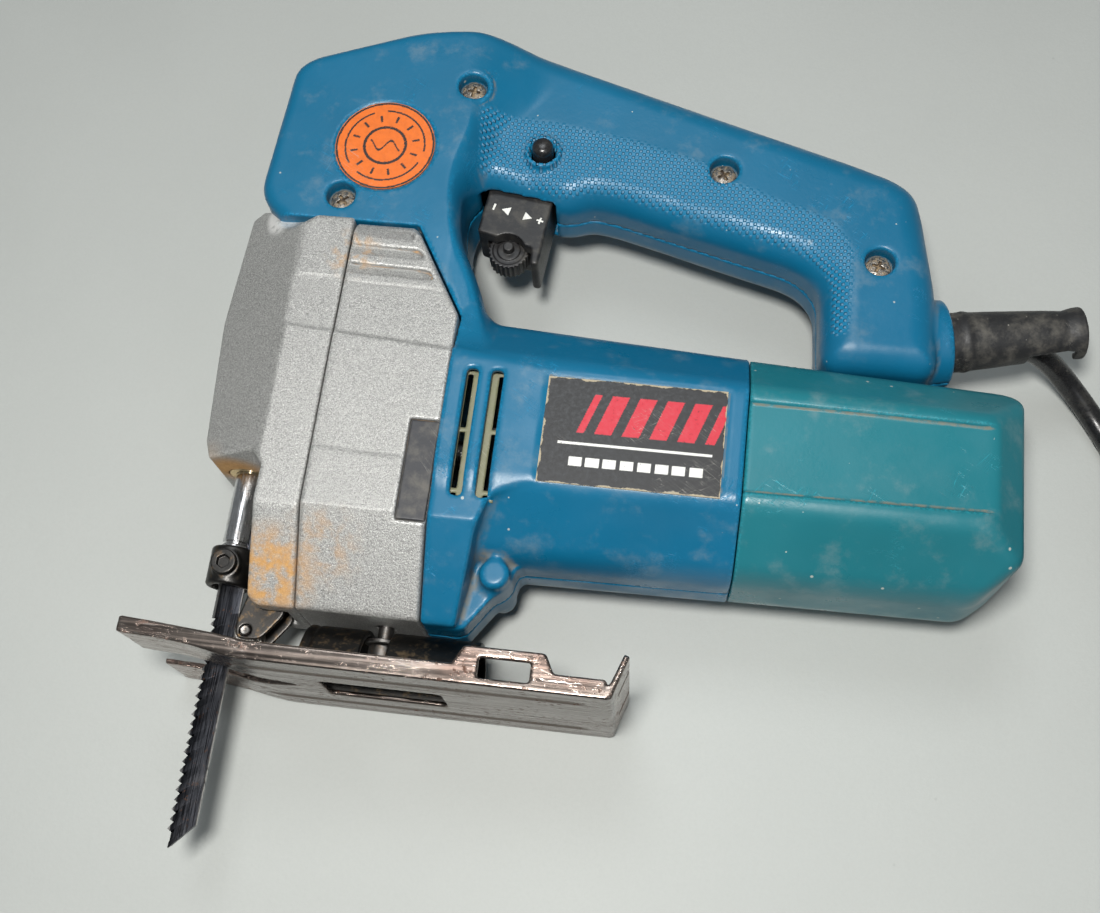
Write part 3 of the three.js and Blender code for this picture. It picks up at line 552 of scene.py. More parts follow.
def cast(name, colour, dusty):
    """Sand-grained cast alloy: dull grey with a sparkle, painted shade in the corners, polished on
    edges, sawdust where it collects, and when dusty a painted highlight near the nose's top front
    corner."""
    f = Finish(name, 0.5, 0.55)
    grain, pits = f.noise(1.6, 3.0, 0.7), f.noise(4.5, 2.0, 0.7)
    edge = f.kept("edge")
    base = f.blend(f.noise(0.05, 4.0), shade(colour, 0.8), shade(colour, 1.1))
    base = f.blend(f.ramp(grain, 0.36, 0.64, 0.0, 0.5), shade(colour, 0.5), base)
    base = f.blend(f.ramp(pits, 0.5, 0.68, 0.0, 0.7), base, shade(colour, 1.7))
    base = f.blend(f.ramp(f.noise(3.2, 2.0), 0.44, 0.32, 0.0, 0.55), base, shade(colour, 0.3))
    # Painted shade: concave corners are darkened to under half the alloy's colour.
    base = f.blend(f.ramp(edge, -0.15, -0.9), base, shade(colour, 0.45))
    bright = f.math("MULTIPLY", f.ramp(edge, 0.3, 1.2), f.ramp(grain, 0.4, 0.62))
    base = f.blend(f.math("MULTIPLY", bright, 0.7), base, (0.78, 0.78, 0.76))
    marks = f.most(f.hairlines(0.4, 0.8, 0.012, 0.36), f.dots(0.2, 0.07, 0.85))
    base = f.blend(f.math("MULTIPLY", marks, 0.5), base, (0.75, 0.75, 0.72))
    dust = None
    if dusty:
        low = f.math(
            "MULTIPLY", f.spot((11, 25, 20), 6, 17), f.ramp(f.noise(0.22, 5.0, 0.65), 0.34, 0.62))
        nose = f.spot((-8, 57, 6), 4, 13)
        stain = f.math(
            "MULTIPLY", f.spot((25, 33, 24), 3, 15), f.ramp(f.noise(0.3, 4.0), 0.4, 0.7, 0.0, 0.5))
        bands = f.math(
            "MULTIPLY", f.spot((20, 120, 28), 3, 10),
            f.ramp(f.noise(0.35, 4.0), 0.46, 0.66, 0.0, 0.6))
        tan = f.math("MULTIPLY", f.spot((3, 134, 23), 1, 5), 0.7)
        seams = f.math(
            "MULTIPLY", f.ramp(edge, -0.5, -1.4), f.ramp(f.noise(0.2, 4.0), 0.4, 0.6, 0.0, 0.8))
        # Painted highlight: a near-white patch, broken up by noise, at the nose's top front corner.
        painted_highlight = f.math(
            "MULTIPLY", f.spot((-6, 134, 21), 4.5, 7.5), f.ramp(f.noise(0.5, 3.0), 0.2, 0.5))
        base = f.blend(painted_highlight, base, (0.85, 0.84, 0.82))
        dust = f.math("MULTIPLY", f.most(low, nose, stain, bands, tan, seams), 0.92)
        base = f.blend(dust, base, f.blend(f.noise(0.9, 3.0), (0.4, 0.19, 0.05), (0.7, 0.4, 0.13)))
    rough = f.math("SUBTRACT", f.ramp(grain, 0.3, 0.7, 0.42, 0.6), f.math("MULTIPLY", bright, 0.2))
    metal = None
    if dusty:
        rough = f.math("ADD", rough, f.math("MULTIPLY", dust, 0.4), True)
        metal = f.math("SUBTRACT", 0.55, f.math("MULTIPLY", dust, 0.55), True)
    return f.set(base, rough, [(grain, 0.16), (pits, 0.1), (f.noise(0.3, 3.0), 0.1)], metal)


def worn_chrome(name, colour, rust):
    """Thin brownish chrome on steel, scratched along its length, with rust freckles, bright worn
    edges and painted shade towards the sole."""
    f = Finish(name, 0.22, 1.0)
    edge = f.kept("edge")
    base = f.blend(f.noise(0.08, 5.0, 0.6), shade(colour, 0.6), shade(colour, 1.15))
    streak = f.noise(0.9, 4.0, stretch=(0.03, 1.0, 1.0))
    base = f.blend(f.ramp(streak, 0.35, 0.75, 0.0, 0.6), base, shade(colour, 0.45))
    lines = f.most(f.hairlines(0.02, 1.5, 0.02, 0.55), f.hairlines(0.25, 1.1, 0.014, 0.45))
    base = f.blend(f.ramp(f.noise(0.05, 3.0), 0.4, 0.65, 0.0, 0.6), base, (0.2, 0.125, 0.1))
    base = f.blend(f.math("MULTIPLY", lines, 0.5), base, (0.7, 0.66, 0.62))
    # Painted shade: the chrome darkens to under a third of its colour towards the sole, below y =
    # 2.6 mm.
    height = f.node("SeparateXYZ", f.place).outputs[1]
    base = f.blend(f.ramp(height, 2.6, 1.2, 0.0, 0.75), base, shade(colour, 0.3))
    freckle = f.math(
        "MULTIPLY", f.ramp(f.noise(0.55, 6.0, 0.7), 0.56, 0.64),
        f.ramp(f.noise(0.07, 3.0), 0.4, 0.62))
    grime = f.most(freckle, f.math("MULTIPLY", f.ramp(edge, -0.1, -0.8), 0.8))
    base = f.blend(grime, base, rust)
    rough = f.math(
        "ADD", f.ramp(streak, 0.3, 0.75, 0.14, 0.36), f.math("MULTIPLY", grime, 0.5), True)
    metal = f.math("SUBTRACT", 1.0, f.math("MULTIPLY", grime, 0.85), True)
    return f.set(
        base, rough, [(streak, 0.02), (grime, 0.05), (lines, -0.02), (f.noise(0.12, 2.0), 0.12)],
        metal)


def metal(name, colour, roughness, stretch=(1.0, 1.0, 1.0), tarnish=(0.1, 0.07, 0.05), cover=0.5):
    """Turned or rolled metal with fine drawn-out machining lines and blotchy tarnish."""
    f = Finish(name, roughness, 1.0)
    lines = f.noise(2.5, 3.0, stretch=stretch)
    blot = f.math("MULTIPLY", f.ramp(f.noise(0.4, 5.0, 0.65), 0.5, 0.72), cover)
    base = f.blend(lines, shade(colour, 0.7), shade(colour, 1.2))
    base = f.blend(blot, base, tarnish)
    rough = f.math(
        "ADD", f.ramp(lines, 0.3, 0.7, roughness - 0.06, roughness + 0.1),
        f.math("MULTIPLY", blot, 0.3))
    return f.set(base, rough, [(lines, 0.02), (blot, 0.02)])


def dull(name, colour, roughness=0.5, dust=0.3, grain=2.0, depth=0.03):
    """Plain plastic, rubber, fibre or paint with a fine grain and a little pale dust."""
    f = Finish(name, roughness)
    fine = f.noise(grain, 3.0)
    haze = f.math("MULTIPLY", f.ramp(f.noise(0.18, 5.0, 0.65), 0.42, 0.75), dust)
    base = f.blend(fine, shade(colour, 0.75), shade(colour, 1.3))
    base = f.blend(haze, base, (0.26, 0.24, 0.2))
    marks = f.most(f.dots(0.35, 0.09, 0.86), f.hairlines(0.8, 1.2, 0.012, 0.4))
    base = f.blend(f.math("MULTIPLY", marks, min(1.0, 1.6 * dust)), base, (0.45, 0.43, 0.38))
    rough = f.math(
        "ADD", f.ramp(fine, 0.3, 0.7, roughness - 0.07, roughness + 0.07),
        f.math("MULTIPLY", haze, 0.5), True)
    return f.set(base, rough, [(fine, depth), (f.noise(0.4, 2.0), depth * 2)])


def printed(name, ground, inks):
    """A printed sticker: each ink lies where its kept number is above a half, rubbed through and
    torn at the edge."""
    f = Finish(name, 0.36)
    base = f.blend(f.noise(0.5, 3.0), shade(ground, 0.8), shade(ground, 1.25))
    worn = f.noise(0.8, 5.0, 0.7)
    for ink, colour in inks.items():
        base = f.blend(f.math("MULTIPLY", f.kept(ink), f.ramp(worn, 0.72, 0.6)), base, colour)
    torn = f.ramp(
        f.math("ADD", f.kept("rim"), f.math("MULTIPLY", f.noise(0.25, 4.0), 3.0)), 2.0, 1.7)
    base = f.blend(torn, base, (0.36, 0.31, 0.22))
    scuffs = f.most(f.hairlines(0.6, 1.3, 0.01, 0.42), f.hairlines(-0.5, 1.1, 0.008, 0.4))
    base = f.blend(f.math("MULTIPLY", scuffs, 0.35), base, (0.4, 0.38, 0.34))
    rough = f.math("ADD", f.ramp(worn, 0.3, 0.7, 0.3, 0.5), f.math("MULTIPLY", torn, 0.4), True)
    return f.set(base, rough, [(worn, 0.02), (torn, -0.05)])


def fit(piece, material, body, nodes, slot):
    """Gives a piece its finish, the body it moves with and the plain nodes it stands for. Its kind
    of material, slot, is not used."""
    piece.data.materials.append(material)
    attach(piece, body)
    if nodes:
        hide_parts(*nodes)
    return piece


# ---------------------------------------------------------------- sizes and colours


def formed(name, field, low, high, step, *fitting):
    """A skinned piece with its finish, body and nodes; the slot is passed on but not used."""
    return fit(skinned(name, field, low, high, step), *fitting)


def grid_step(name, description, default, least):
    return FloatProperty(name=name, description=description, default=default, min=least,
                         subtype="DISTANCE", unit="LENGTH", precision=5)


def tint(name, description, default):
    return FloatVectorProperty(name=name, description=description, default=default, size=3,
                               subtype="COLOR", min=0, max=1)


class JigsawSizes(PropertyGroup):
    """How finely the surfaces are worked out."""

    body_step: grid_step("Body grid", "Grid step of the housing halves", 0.9e-3, 5e-4)
    cast_step: grid_step("Casting grid", "Grid step of the cast gear case and nose", 0.65e-3, 4e-4)
    sheet_step: grid_step("Shoe grid", "Grid step of the pressed shoe", 0.55e-3, 4e-4)
    small_step: grid_step(
        "Small grid", "Grid step of the trigger and small mouldings", 0.35e-3, 2e-4)
    lens: FloatProperty(
        name="Lens", description="Focal length of the camera on a 36 mm sensor",
        default=44.876e-3, unit="CAMERA")


class JigsawColours(PropertyGroup):
    """The colours that give the tool its look."""

    blue: tint("Housing", "Colour of the moulded halves", (0.004, 0.118, 0.228))
    teal: tint("Motor cover", "Colour of the cover over the motor's rear", (0.012, 0.15, 0.185))
    alloy: tint("Casting", "Colour of the cast gear case", (0.54, 0.54, 0.525))
    chrome: tint("Shoe", "Colour of the shoe's worn chrome", (0.36, 0.3, 0.265))
    black: tint("Black parts", "Colour of the switch, dial and cord", (0.012, 0.012, 0.013))
    orange: tint("Badge", "Colour of the round badge", (0.66, 0.135, 0.008))
    floor: tint("Floor", "Colour of the paper under the tool", (0.44, 0.457, 0.44))


def sizes():
    return bpy.context.scene.jigsaw_sizes


def colours():
    return bpy.context.scene.jigsaw_colours


# ---------------------------------------------------------------- stage, light and camera


class JIGSAW_OT_stage(Operator):
    """Lays the floor, hangs the lights and sets the camera above the tool"""

    bl_idname = "jigsaw.stage"
    bl_label = "Floor, lights and camera"

    def light(self, name, place_m, aim_m, size, power, colour):
        lamp = bpy.data.lights.new(name, "AREA")
        lamp.shape, lamp.size, lamp.energy, lamp.color = "DISK", size, power, colour
        piece = bpy.data.objects.new(name, lamp)
        piece.location = place_m
        way = Vector(aim_m) - Vector(place_m)
        piece.rotation_euler = way.to_track_quat("-Z", "Y").to_euler()
        bpy.context.scene.collection.objects.link(piece)

    def execute(self, context):
        scene = context.scene
        lens = bpy.data.cameras.new("camera")
        lens.sensor_width = 36.0
        lens.lens = sizes().lens / MM
        lens.clip_start = 0.01
        camera = bpy.data.objects.new("camera", lens)
        camera.location = CAMERA_PLACE
        camera.rotation_euler = [math.radians(angle) for angle in CAMERA_TURN]
        scene.collection.objects.link(camera)
        scene.camera = camera

        # The floor dips and rises by a hair: two low sine waves across a square grid.
        u = np.linspace(-FLOOR_HALF, FLOOR_HALF, FLOOR_POINTS)
        x, y = (a.ravel() for a in np.meshgrid(u, u, indexing="ij"))
        z = 0.0002 * (np.sin(9 * x) * np.sin(7 * y) - 1) - 0.0003
        points = np.stack([x, y, z], 1) / MM - ORIGIN
        floor = make(
            "floor", points, [grid_faces(FLOOR_POINTS, FLOOR_POINTS, wrap_columns=False)[:, ::-1]])
        f = Finish("paper floor", 0.62)
        tone = tuple(colours().floor)
        base = f.blend(f.noise(0.012, 4.0), shade(tone, 0.93), shade(tone, 1.05))
        base = f.blend(f.ramp(f.noise(1.2, 4.0, 0.7), 0.35, 0.7, 0.0, 0.3), base, shade(tone, 0.9))
        base = f.blend(f.math("MULTIPLY", f.dots(0.09, 0.05, 0.9), 0.25), base, shade(tone, 0.6))
        floor.data.materials.append(
            f.set(base, None, [(f.noise(0.9, 3.0), 0.05), (f.noise(0.15, 2.0), 0.1)]))

        aim = (0.0, 0.0, 0.03)
        self.light("flash", (-0.02, -0.12, 0.58), aim, 0.1, 3.7, (1.0, 0.985, 0.95))
        self.light("room", (-0.13, 0.56, 1.3), aim, 0.55, 3.6, (0.93, 0.97, 1.0))
        self.light("window", (0.7, -0.7, 0.9), aim, 0.6, 1.0, (0.93, 0.97, 1.0))
        world = bpy.data.worlds.new("room light")
        world.use_nodes = True
        sky = world.node_tree.nodes["Background"]
        sky.inputs["Color"].default_value = (0.75, 0.8, 0.82, 1)
        sky.inputs["Strength"].default_value = 0.22
        scene.world = world
        scene.view_settings.view_transform = "Standard"
        return {"FINISHED"}


# ---------------------------------------------------------------- cord, boot and plug


def coil_path():
    """The wound cord from where it meets the coil. Its turns lie two across and four deep. Every
    320 degrees it has eased into the next cell over the last 40, from the outer cell of the bottom
    layer up, and at the end it moves out beside the top layer."""
    cells = [(1, 0), (-1, 0), (-1, 1), (1, 1), (1, 2), (-1, 2), (-1, 3), (1, 3)]
    radii = np.array([COIL_RADIUS + 0.5 * COIL_PITCH * side for side, _ in cells] + [TAIL_RADIUS])
    levels = np.array([COIL_LIFT - HALF_WIDTH + COIL_PITCH * (layer + 0.5) for _, layer in cells])
    levels = np.append(levels, levels[-1])
    ease = np.array([40.0] * 7 + [25.0])
    starts = np.concatenate([320.0 * np.arange(1, 8) - 40, [2600.0]])
    swept_by = np.arange(0.0, 2623.0, 5.0)
    share = np.clip((swept_by[:, None] - starts) / ease, 0, 1)
    share = share * share * (3 - 2 * share)
    r = radii[0] + share @ np.diff(radii)
    z = levels[0] + share @ np.diff(levels)
    angle = np.radians(180.0 + swept_by)
    return np.stack([COIL_CENTRE[0] + r * np.cos(angle), COIL_CENTRE[1] + r * np.sin(angle), z], 1)


def tail_path():
    """The cord's end: round the coil's outside from 285 to 390 degrees, swinging out and easing
    down to the plug."""
    share = np.linspace(0, 1, 16)
    angle = np.radians(285 + 105 * share)
    r = TAIL_RADIUS + TAIL_SPREAD * share**2
    high = COIL_LIFT - HALF_WIDTH + 3.5 * COIL_PITCH
    z = high + (8.5 - HALF_WIDTH - high) * (1 - np.cos(np.pi * share)) / 2
    return np.stack([COIL_CENTRE[0] + r * np.cos(angle), COIL_CENTRE[1] + r * np.sin(angle), z], 1)


def plug_place():
    """Where the cord ends, and the unit vector along which it does."""
    tail = tail_path()
    ahead = tail[-1] - tail[-2]
    ahead[2] = 0
    return tail[-1], ahead / np.linalg.norm(ahead)


class JIGSAW_OT_cord(Operator):
    bl_idname = "jigsaw.cord"
    bl_label = "Cord, coil and plug"

    def execute(self, context):
        black = tuple(colours().black)
        knots = np.vstack([np.array(CORD_ROUTE, float), coil_path()[3:-1:3], tail_path()[::3]])
        centre = smooth_path(knots, 2.0)
        cord = swept("mains_cord", centre, CORD_RADIUS, 20)
        jacket = dull("cord jacket", black, 0.3, 0.12, 1.2, 0.015)
        fit(cord, jacket, "housing", ["cord_tube", "cord_coil", "cord_tail"], "cord_jacket")

        end, ahead = plug_place()
        across = np.array([-ahead[1], ahead[0], 0])

        def local(x, y, z):
            dx, dy = x - end[0], y - end[1]
            return dx * ahead[0] + dy * ahead[1], dx * across[0] + dy * across[1], z - end[2]

        def body_field(x, y, z):
            u, v, w = local(x, y, z)
            radial = np.sqrt(v * v + w * w)
            neck = carried(radial - (4.4 + 0.09 * u), between(u, 0.4, 20), 0.6)
            for rib in range(5):
                neck = cut(neck, carried(np.abs(u - 3.5 - 3 * rib) - 0.6, 4.9 - radial), 0.5)
            flat = polygon(
                u, v, [(15, -6.6), (23, -12), (46, -12), (46, 12), (23, 12), (15, 6.6)], 5)
            slab = carried(flat, np.abs(w) - 8.5, 2.5)
            for ridge in range(4):
                grip = carried(np.abs(u - 27 - 3.4 * ridge) - 0.7, 11.3 - np.abs(v) + 0 * w)
                slab = cut(slab, grip, 0.5)
            body = join(neck, slab, 2.5)
            for side in (-PIN_REACH, PIN_REACH):
                body = cut(body, block(u, v, w, (37.7, side - 1.05, -3.5), (50, side + 1.05, 3.5)))
            return body

        low, high = end - 9.0, end + 9.0
        spread = np.array([end + u * ahead + v * across for u in (0, 47) for v in (-12.5, 12.5)])
        low[:2], high[:2] = spread[:, :2].min(0) - 1, spread[:, :2].max(0) + 1
        plug = formed(
            "plug_moulding", body_field, low, high, 0.6, dull("plug plastic", black, 0.38, 0.15),
            "housing", ["plug_body"], "plug_plastic")

        for number, side in ((1, -PIN_REACH), (2, PIN_REACH)):
            def pin_field(x, y, z, side=side):
                u, v, w = local(x, y, z)
                blade = block(u, v, w, (38.2, side - 0.75, -3.2), (62.4, side + 0.75, 3.2), 0.35)
                return cut(blade, disc(u, w, (58.5, 0), 1.5), 0.2)

            ends = np.array([end + u * ahead + side * across for u in (38, 62.6)])
            low = np.append(ends[:, :2].min(0) - 1.2, end[2] - 3.4)
            high = np.append(ends[:, :2].max(0) + 1.2, end[2] + 3.4)
            pin = formed(
                f"plug_blade_{number}", pin_field, low, high, 0.3,
                metal("pin brass", (0.7, 0.5, 0.24), 0.25), "housing", [f"plug_pin_{number}"],
                "brass")

        bottom = COIL_LIFT - HALF_WIDTH
        top = bottom + 4 * COIL_PITCH
        turn = math.radians(100)
        out = np.array([math.cos(turn), math.sin(turn)])

        def tie_field(x, y, z):
            dx, dy = x - COIL_CENTRE[0], y - COIL_CENTRE[1]
            u, v = dx * out[0] + dy * out[1], dy * out[0] - dx * out[1]
            size_u, size_z = between(u, 31.45, 48.15), between(z, bottom - 0.95, top + 0.95)
            band = carried(carried(size_u, size_z, 3.0), np.abs(v) - 3, 0.3)
            room = carried(between(u, 32.15, 47.45), between(z, bottom - 0.25, top + 0.25), 2.4)
            return cut(band, room + 0 * v)

        middle = np.array([*(np.array(COIL_CENTRE) + 40 * out), 0.0])
        tie = formed(
            "cord_band", tie_field, middle + (-7, -12, bottom - 1), middle + (7, 12, top + 1), 0.4,
            dull("tie webbing", black, 0.7, 0.3, 1.6, 0.12), "housing", ["cord_tie"],
            "plug_plastic")

        return {"FINISHED"}


class JIGSAW_OT_boot(Operator):
    """Moulds the rubber boot round the cord: a tapered sleeve with a flared lip, split open along
    its underside"""

    bl_idname = "jigsaw.boot"
    bl_label = "Cord boot"

    def execute(self, context):
        axis = np.array([math.cos(BOOT_TURN), math.sin(BOOT_TURN)])
        route = np.array(CORD_ROUTE[:13], float)

        def field(x, y, z):
            dx, dy = x - BOOT_START[0], y - BOOT_START[1]
            u, v = dx * axis[0] + dy * axis[1], dy * axis[0] - dx * axis[1]
            r = np.sqrt(v * v + z * z)
            outer = np.interp(
                u, [-1, 0, 12, 28, 34, 37, 39.4], [9.25, 8.9, 8.35, 7.4, 6.85, 7.55, 7.65])
            outer = outer + 0.35 * np.exp(-((u - 5.0) / 1.2) ** 2)
            inner = np.interp(u, [0, 10, 22, 39.4], [4.3, 4.3, 5.2, 5.6])
            body = carried(r - outer, between(u, -8, 39.3), 0.5)
            hole = np.maximum(r - inner, -u)
            body = cut(body, hole, 0.4)
            way = np.float32(1e9)
            for a, b in zip(route, route[1:]):
                step = b - a
                t = np.clip(
                    (
                        (x - a[0]) * step[0] + (y - a[1]) * step[1] + (z - a[2]) * step[2]
                    ) / (step @ step),
                    0, 1)
                near = (
                    x - a[0] - t * step[0]
                ) ** 2 + (y - a[1] - t * step[1]) ** 2 + (z - a[2] - t * step[2]) ** 2
                way = np.minimum(way, near)
            body = cut(body, np.sqrt(way) - CORD_RADIUS - 0.85, 0.5)
            body = cut(body, np.maximum(209 - x, z + 3.2) + 0 * y, 0.6)
            return cut(body, within(between(x, 216, 229.5), y - 124.5, z - 2), 0.6)

        boot = skinned("cord_boot", field, (181, 108, -10), (234, 138, 10), 0.45)
        rubber = dull("boot rubber", (0.014, 0.014, 0.015), 0.52, 0.3, 1.6, 0.05)
        fit(boot, rubber, "housing", ["strain_relief"], "boot_rubber")
        return {"FINISHED"}


# ---------------------------------------------------------------- housing


HANDLE = [
    (-12.6, 139), (-9.8, 184), (-5.0, 188.6), (26.9, 200.7), (40.9, 202.8), (55.2, 202.4),
    (69.6, 200.3), (75.4, 198.3), (121.6, 183.7), (160.5, 171.7), (174.6, 166.7), (180.6, 162.2),
    (182.6, 155), (187.2, 129.2), (188.4, 104), (155.6, 104), (154.3, 128.6), (150.2, 134.2),
    (144.5, 137.3), (120, 143.7), (91.6, 151.2), (84.8, 152.1), (80.5, 150.2), (76, 149.5),
    (66, 152), (52, 155), (46.5, 148), (48, 133), (56.2, 117.4), (61, 104), (64, 90), (44, 90),
    (44, 100), (30, 124), (5.5, 124), (-4, 131)]
HEAD = [
    (-20, 120), (-20, 210), (52, 210), (51, 178), (48.5, 165), (45, 150), (48, 133), (56.2, 117.4),
    (66, 90), (40, 90), (5.5, 120)]
FLANGE = [
    (53.3, 17.8), (62.8, 17.8), (66.3, 41.5), (69.3, 51), (76, 55.5), (84, 58), (84, 86), (53.3, 92)
]
GRIP_DOTS = [
    (48, 177), (50.5, 150), (60, 140), (108, 130), (133, 124), (147, 122), (152.5, 112), (163, 112),
    (163, 139), (157.6, 149), (126.6, 159.4), (116.4, 165.9), (95.7, 171.3), (72.4, 175.4)]
GRIP_FLANK = [
    (46, 178), (46, 100), (165, 100), (165, 139), (157.6, 149), (126.6, 160), (116.4, 166),
    (95.7, 171.3), (72.4, 176)]


def section(y, z, wall=0.0):
    """The gear case seen from the front: flat sides, chamfered in to the bottom so that the shoe
    can tilt."""
    half = np.array(
        [
            (18.0 + wall, 13 - wall / 2), (44 + wall / 2, 28 - wall), (128.0 - wall, 28 - wall),
            (132.0 - wall, 25.5 - wall)])
    return polygon(y, z, np.vstack([half, half[::-1] * (1, -1)]))


def barrel(x, y, z, inset=0.0):
    """Flat sides, broad chamfers and a narrow top and bottom. The top falls and the bottom rises a
    little towards the cord, so y is first stretched to where the section is level."""
    top = np.interp(x, [59, 136, 206], [109.6, 105, 101.4])
    bottom = np.interp(x, [59, 136, 199], [37, 38.2, 39])
    level = 37 + (y - bottom) * 69 / (top - bottom)
    half = np.array([(37, 9), (39, 15.5), (54.5, 29.9), (88.5, 29.9), (103.6, 15.5), (106, 9)])
    return polygon(level, z, np.vstack([half, half[::-1] * (1, -1)]), 3.5) + inset


def smoothstep(v, low, high):
    t = np.clip((v - low) / (high - low), 0, 1)
    return t * t * (3 - 2 * t)


def handle(x, y, z, wall=0.0):
    """The closed handle: its outline carried across, 24 half-wide at the head and easing to 17
    round the grip, with broad rounded edges. Below a falling line the grip's side leans in by 0.16
    of the distance from it."""
    flat = polygon(x, y, HANDLE, 6)
    fade = 1 + 2.2 * smoothstep(y, 166, 190)
    along = smoothstep(polygon(x, y, HEAD, 8) / fade, -3.0, 6.0)
    flank = np.clip(-polygon(x, y, GRIP_FLANK, 3) - 1, 0, 22) * 0.16
    half = HEAD_HALF - (HEAD_HALF - GRIP_HALF) * along - flank
    edge = 3.4 + 4.8 * along
    a, b = flat + wall + edge, np.abs(z) - half + wall + edge
    return np.sqrt(
        np.maximum(a, 0) ** 2 + np.maximum(b, 0) ** 2) + np.minimum(np.maximum(a, b), 0) - edge


def cord_axis(x, y, z):
    """Distance along the boot's axis and out from it."""
    dx, dy = x - BOOT_START[0], y - BOOT_START[1]
    u = dx * math.cos(BOOT_TURN) + dy * math.sin(BOOT_TURN)
    v = dy * math.cos(BOOT_TURN) - dx * math.sin(BOOT_TURN)
    return u, np.sqrt(v * v + z * z)


def housing(x, y, z):
    """Both halves: the handle, motor barrel and front flange run together with soft corners, then
    hollowed."""
    body = common(barrel(x, y, z), between(x, BARREL_FRONT, COVER_X - SPLIT), 0.8)
    flange = common(polygon(x, y, FLANGE, 1.5) + 0 * z, section(y, z, -0.6) + 0 * x, 1.5)
    flange = common(flange, np.abs(z) - HALF_WIDTH + 0.1, 1.5)
    skin = join(body, flange, 2.5)
    skin = join(skin, handle(x, y, z), 5.0)
    web = carried(
        polygon(x, y, [(60, 18.5), (64.5, 18.5), (78, 38), (60, 42)], 1), np.abs(z) - 9, 0.5)
    boss = common(disc(x, y, (71.5, 33.5), 4.2), np.abs(z) - 15, 2.0)
    skin = join(join(skin, web, 1.5), boss, 2.5)
    u, r = cord_axis(x, y, z)
    skin = join(skin, carried(r - 12.8, between(u, -9, -0.3), 1.2), 1.5)
    ring = np.sqrt(
        (np.sqrt((x - 74.8) ** 2 + (y - 73) ** 2) - 4.3) ** 2 + (np.abs(z) - HALF_WIDTH) ** 2
    ) - 0.35
    skin = join(skin, ring, 0.4)
    skin = np.maximum(skin, np.abs(z) - HALF_WIDTH)
    under_case = np.maximum(y - 132.4, 0.861 * (x - 36.9) + 0.509 * (y - 132.4))
    seat = within(under_case, x - 53.25, -40 - x) + 0 * z
    skin = cut(skin, seat)
    inside_handle = np.maximum(handle(x, y, z, 2.6), 2.6 - seat)
    inside_flange = within(polygon(x, y, FLANGE) + 2.6, section(y, z, 2.2), np.abs(z) - 27.3)
    room = either(np.maximum(barrel(x, y, z, 2.6), 50 - x), inside_handle, inside_flange)
    skin = cut(skin, room)
    skin = cut(skin, np.maximum(r - 9.6, between(u, -14, 2)), 0.6)
    skin = cut(skin, block(x, y, z, (50.3, 140, -9.2), (73.9, 163, 9.2), 0.5), 0.6)
    for at in (60, 66.9):
        slot = carried(
            polygon(
                x, y, [(at - 1.65, 50), (at + 1.65, 50), (at + 1.65, 86.6), (at - 1.65, 86.6)], 1.5
            ),
            20 - np.abs(z))
        skin = cut(skin, slot, 0.9)
    return skin


def left_half(x, y, z):
    """The upper half as it lies: screw bosses and sinks, the lock button's hole, and recesses for
    the stickers."""
    skin = housing(x, y, z)
    for sx, sy, face in CASE_SCREWS:
        r = disc(x, y, (sx, sy), 0.0)
        skin = join(skin, np.maximum(r - 6, between(z, SPLIT, face - 1)), 0.8)
        skin = cut(skin, np.maximum(r - 4.35, face - 5.4 - z), 1.0)
        skin = cut(skin, r - 2)
    skin = cut(skin, np.maximum(disc(x, y, LOCK, 3.7), 10 - z), 0.7)
    skin = join(skin, np.maximum(np.abs(disc(x, y, LOCK, 4.9)) - 0.5, between(z, 15, 17.5)), 1.2)
    skin = cut(skin, block(x, y, z, (80.5, 55, 29.4), (130.2, 86.5, 40), 0.4))
    skin = cut(skin, np.maximum(disc(x, y, BADGE_CENTRE, 15.4), 23.4 - z))
    return np.maximum(skin, SPLIT - z)


def right_half(x, y, z):
    """The lower half as it lies: plain outside, with the bosses that the screws bite into."""
    skin = housing(x, y, z)
    for sx, sy, face in CASE_SCREWS:
        r = disc(x, y, (sx, sy), 0.0)
        skin = join(skin, np.maximum(r - 4.6, between(z, 1 - face, -SPLIT)), 0.8)
        skin = cut(skin, np.maximum(r - 2, -14 - z))
    return np.maximum(skin, SPLIT + z)


def rounded_cover(x, y, z, inset=0.0):
    """The barrel's section, with the rear corners cut off in the side view and in the plan."""
    side = polygon(
        x, y,
        [
            (100, 30), (189.2, 30), (REAR_X, 50), (REAR_X, 95.6), (206, 101.2), (195, 113),
            (100, 113)],
        2.5) + inset
    plan = polygon(
        x, z, [(100, -40), (188.5, -40), (REAR_X, -19.5), (REAR_X, 19.5), (188.5, 40), (100, 40)],
        2.5) + inset
    return common(barrel(x, y, z, inset + 0.2), common(side + 0 * z, plan + 0 * y, 2.5), 2.5)


def cover(x, y, z):
    """The cover as a shell, with a long sunk panel down each side and the rear bearing's ring
    inside."""
    skin = common(rounded_cover(x, y, z), COVER_X + SPLIT - x, 0.6)
    panel = carried(
        polygon(x, y, [(120, 58.3), (215, 59.3), (215, 83), (120, 84.4)], 1), 28.5 - np.abs(z))
    skin = cut(skin, panel, 0.9)
    skin = np.maximum(skin, np.abs(z) - HALF_WIDTH + 0.1)
    skin = cut(skin, rounded_cover(x, y, z, 3.0))
    d = np.sqrt((y - MOTOR_Y) ** 2 + z * z)
    ring = np.maximum(np.abs(d - 12.9) - 1.6, between(x, 171, REAR_X - 2))
    return join(skin, ring, 1.0)


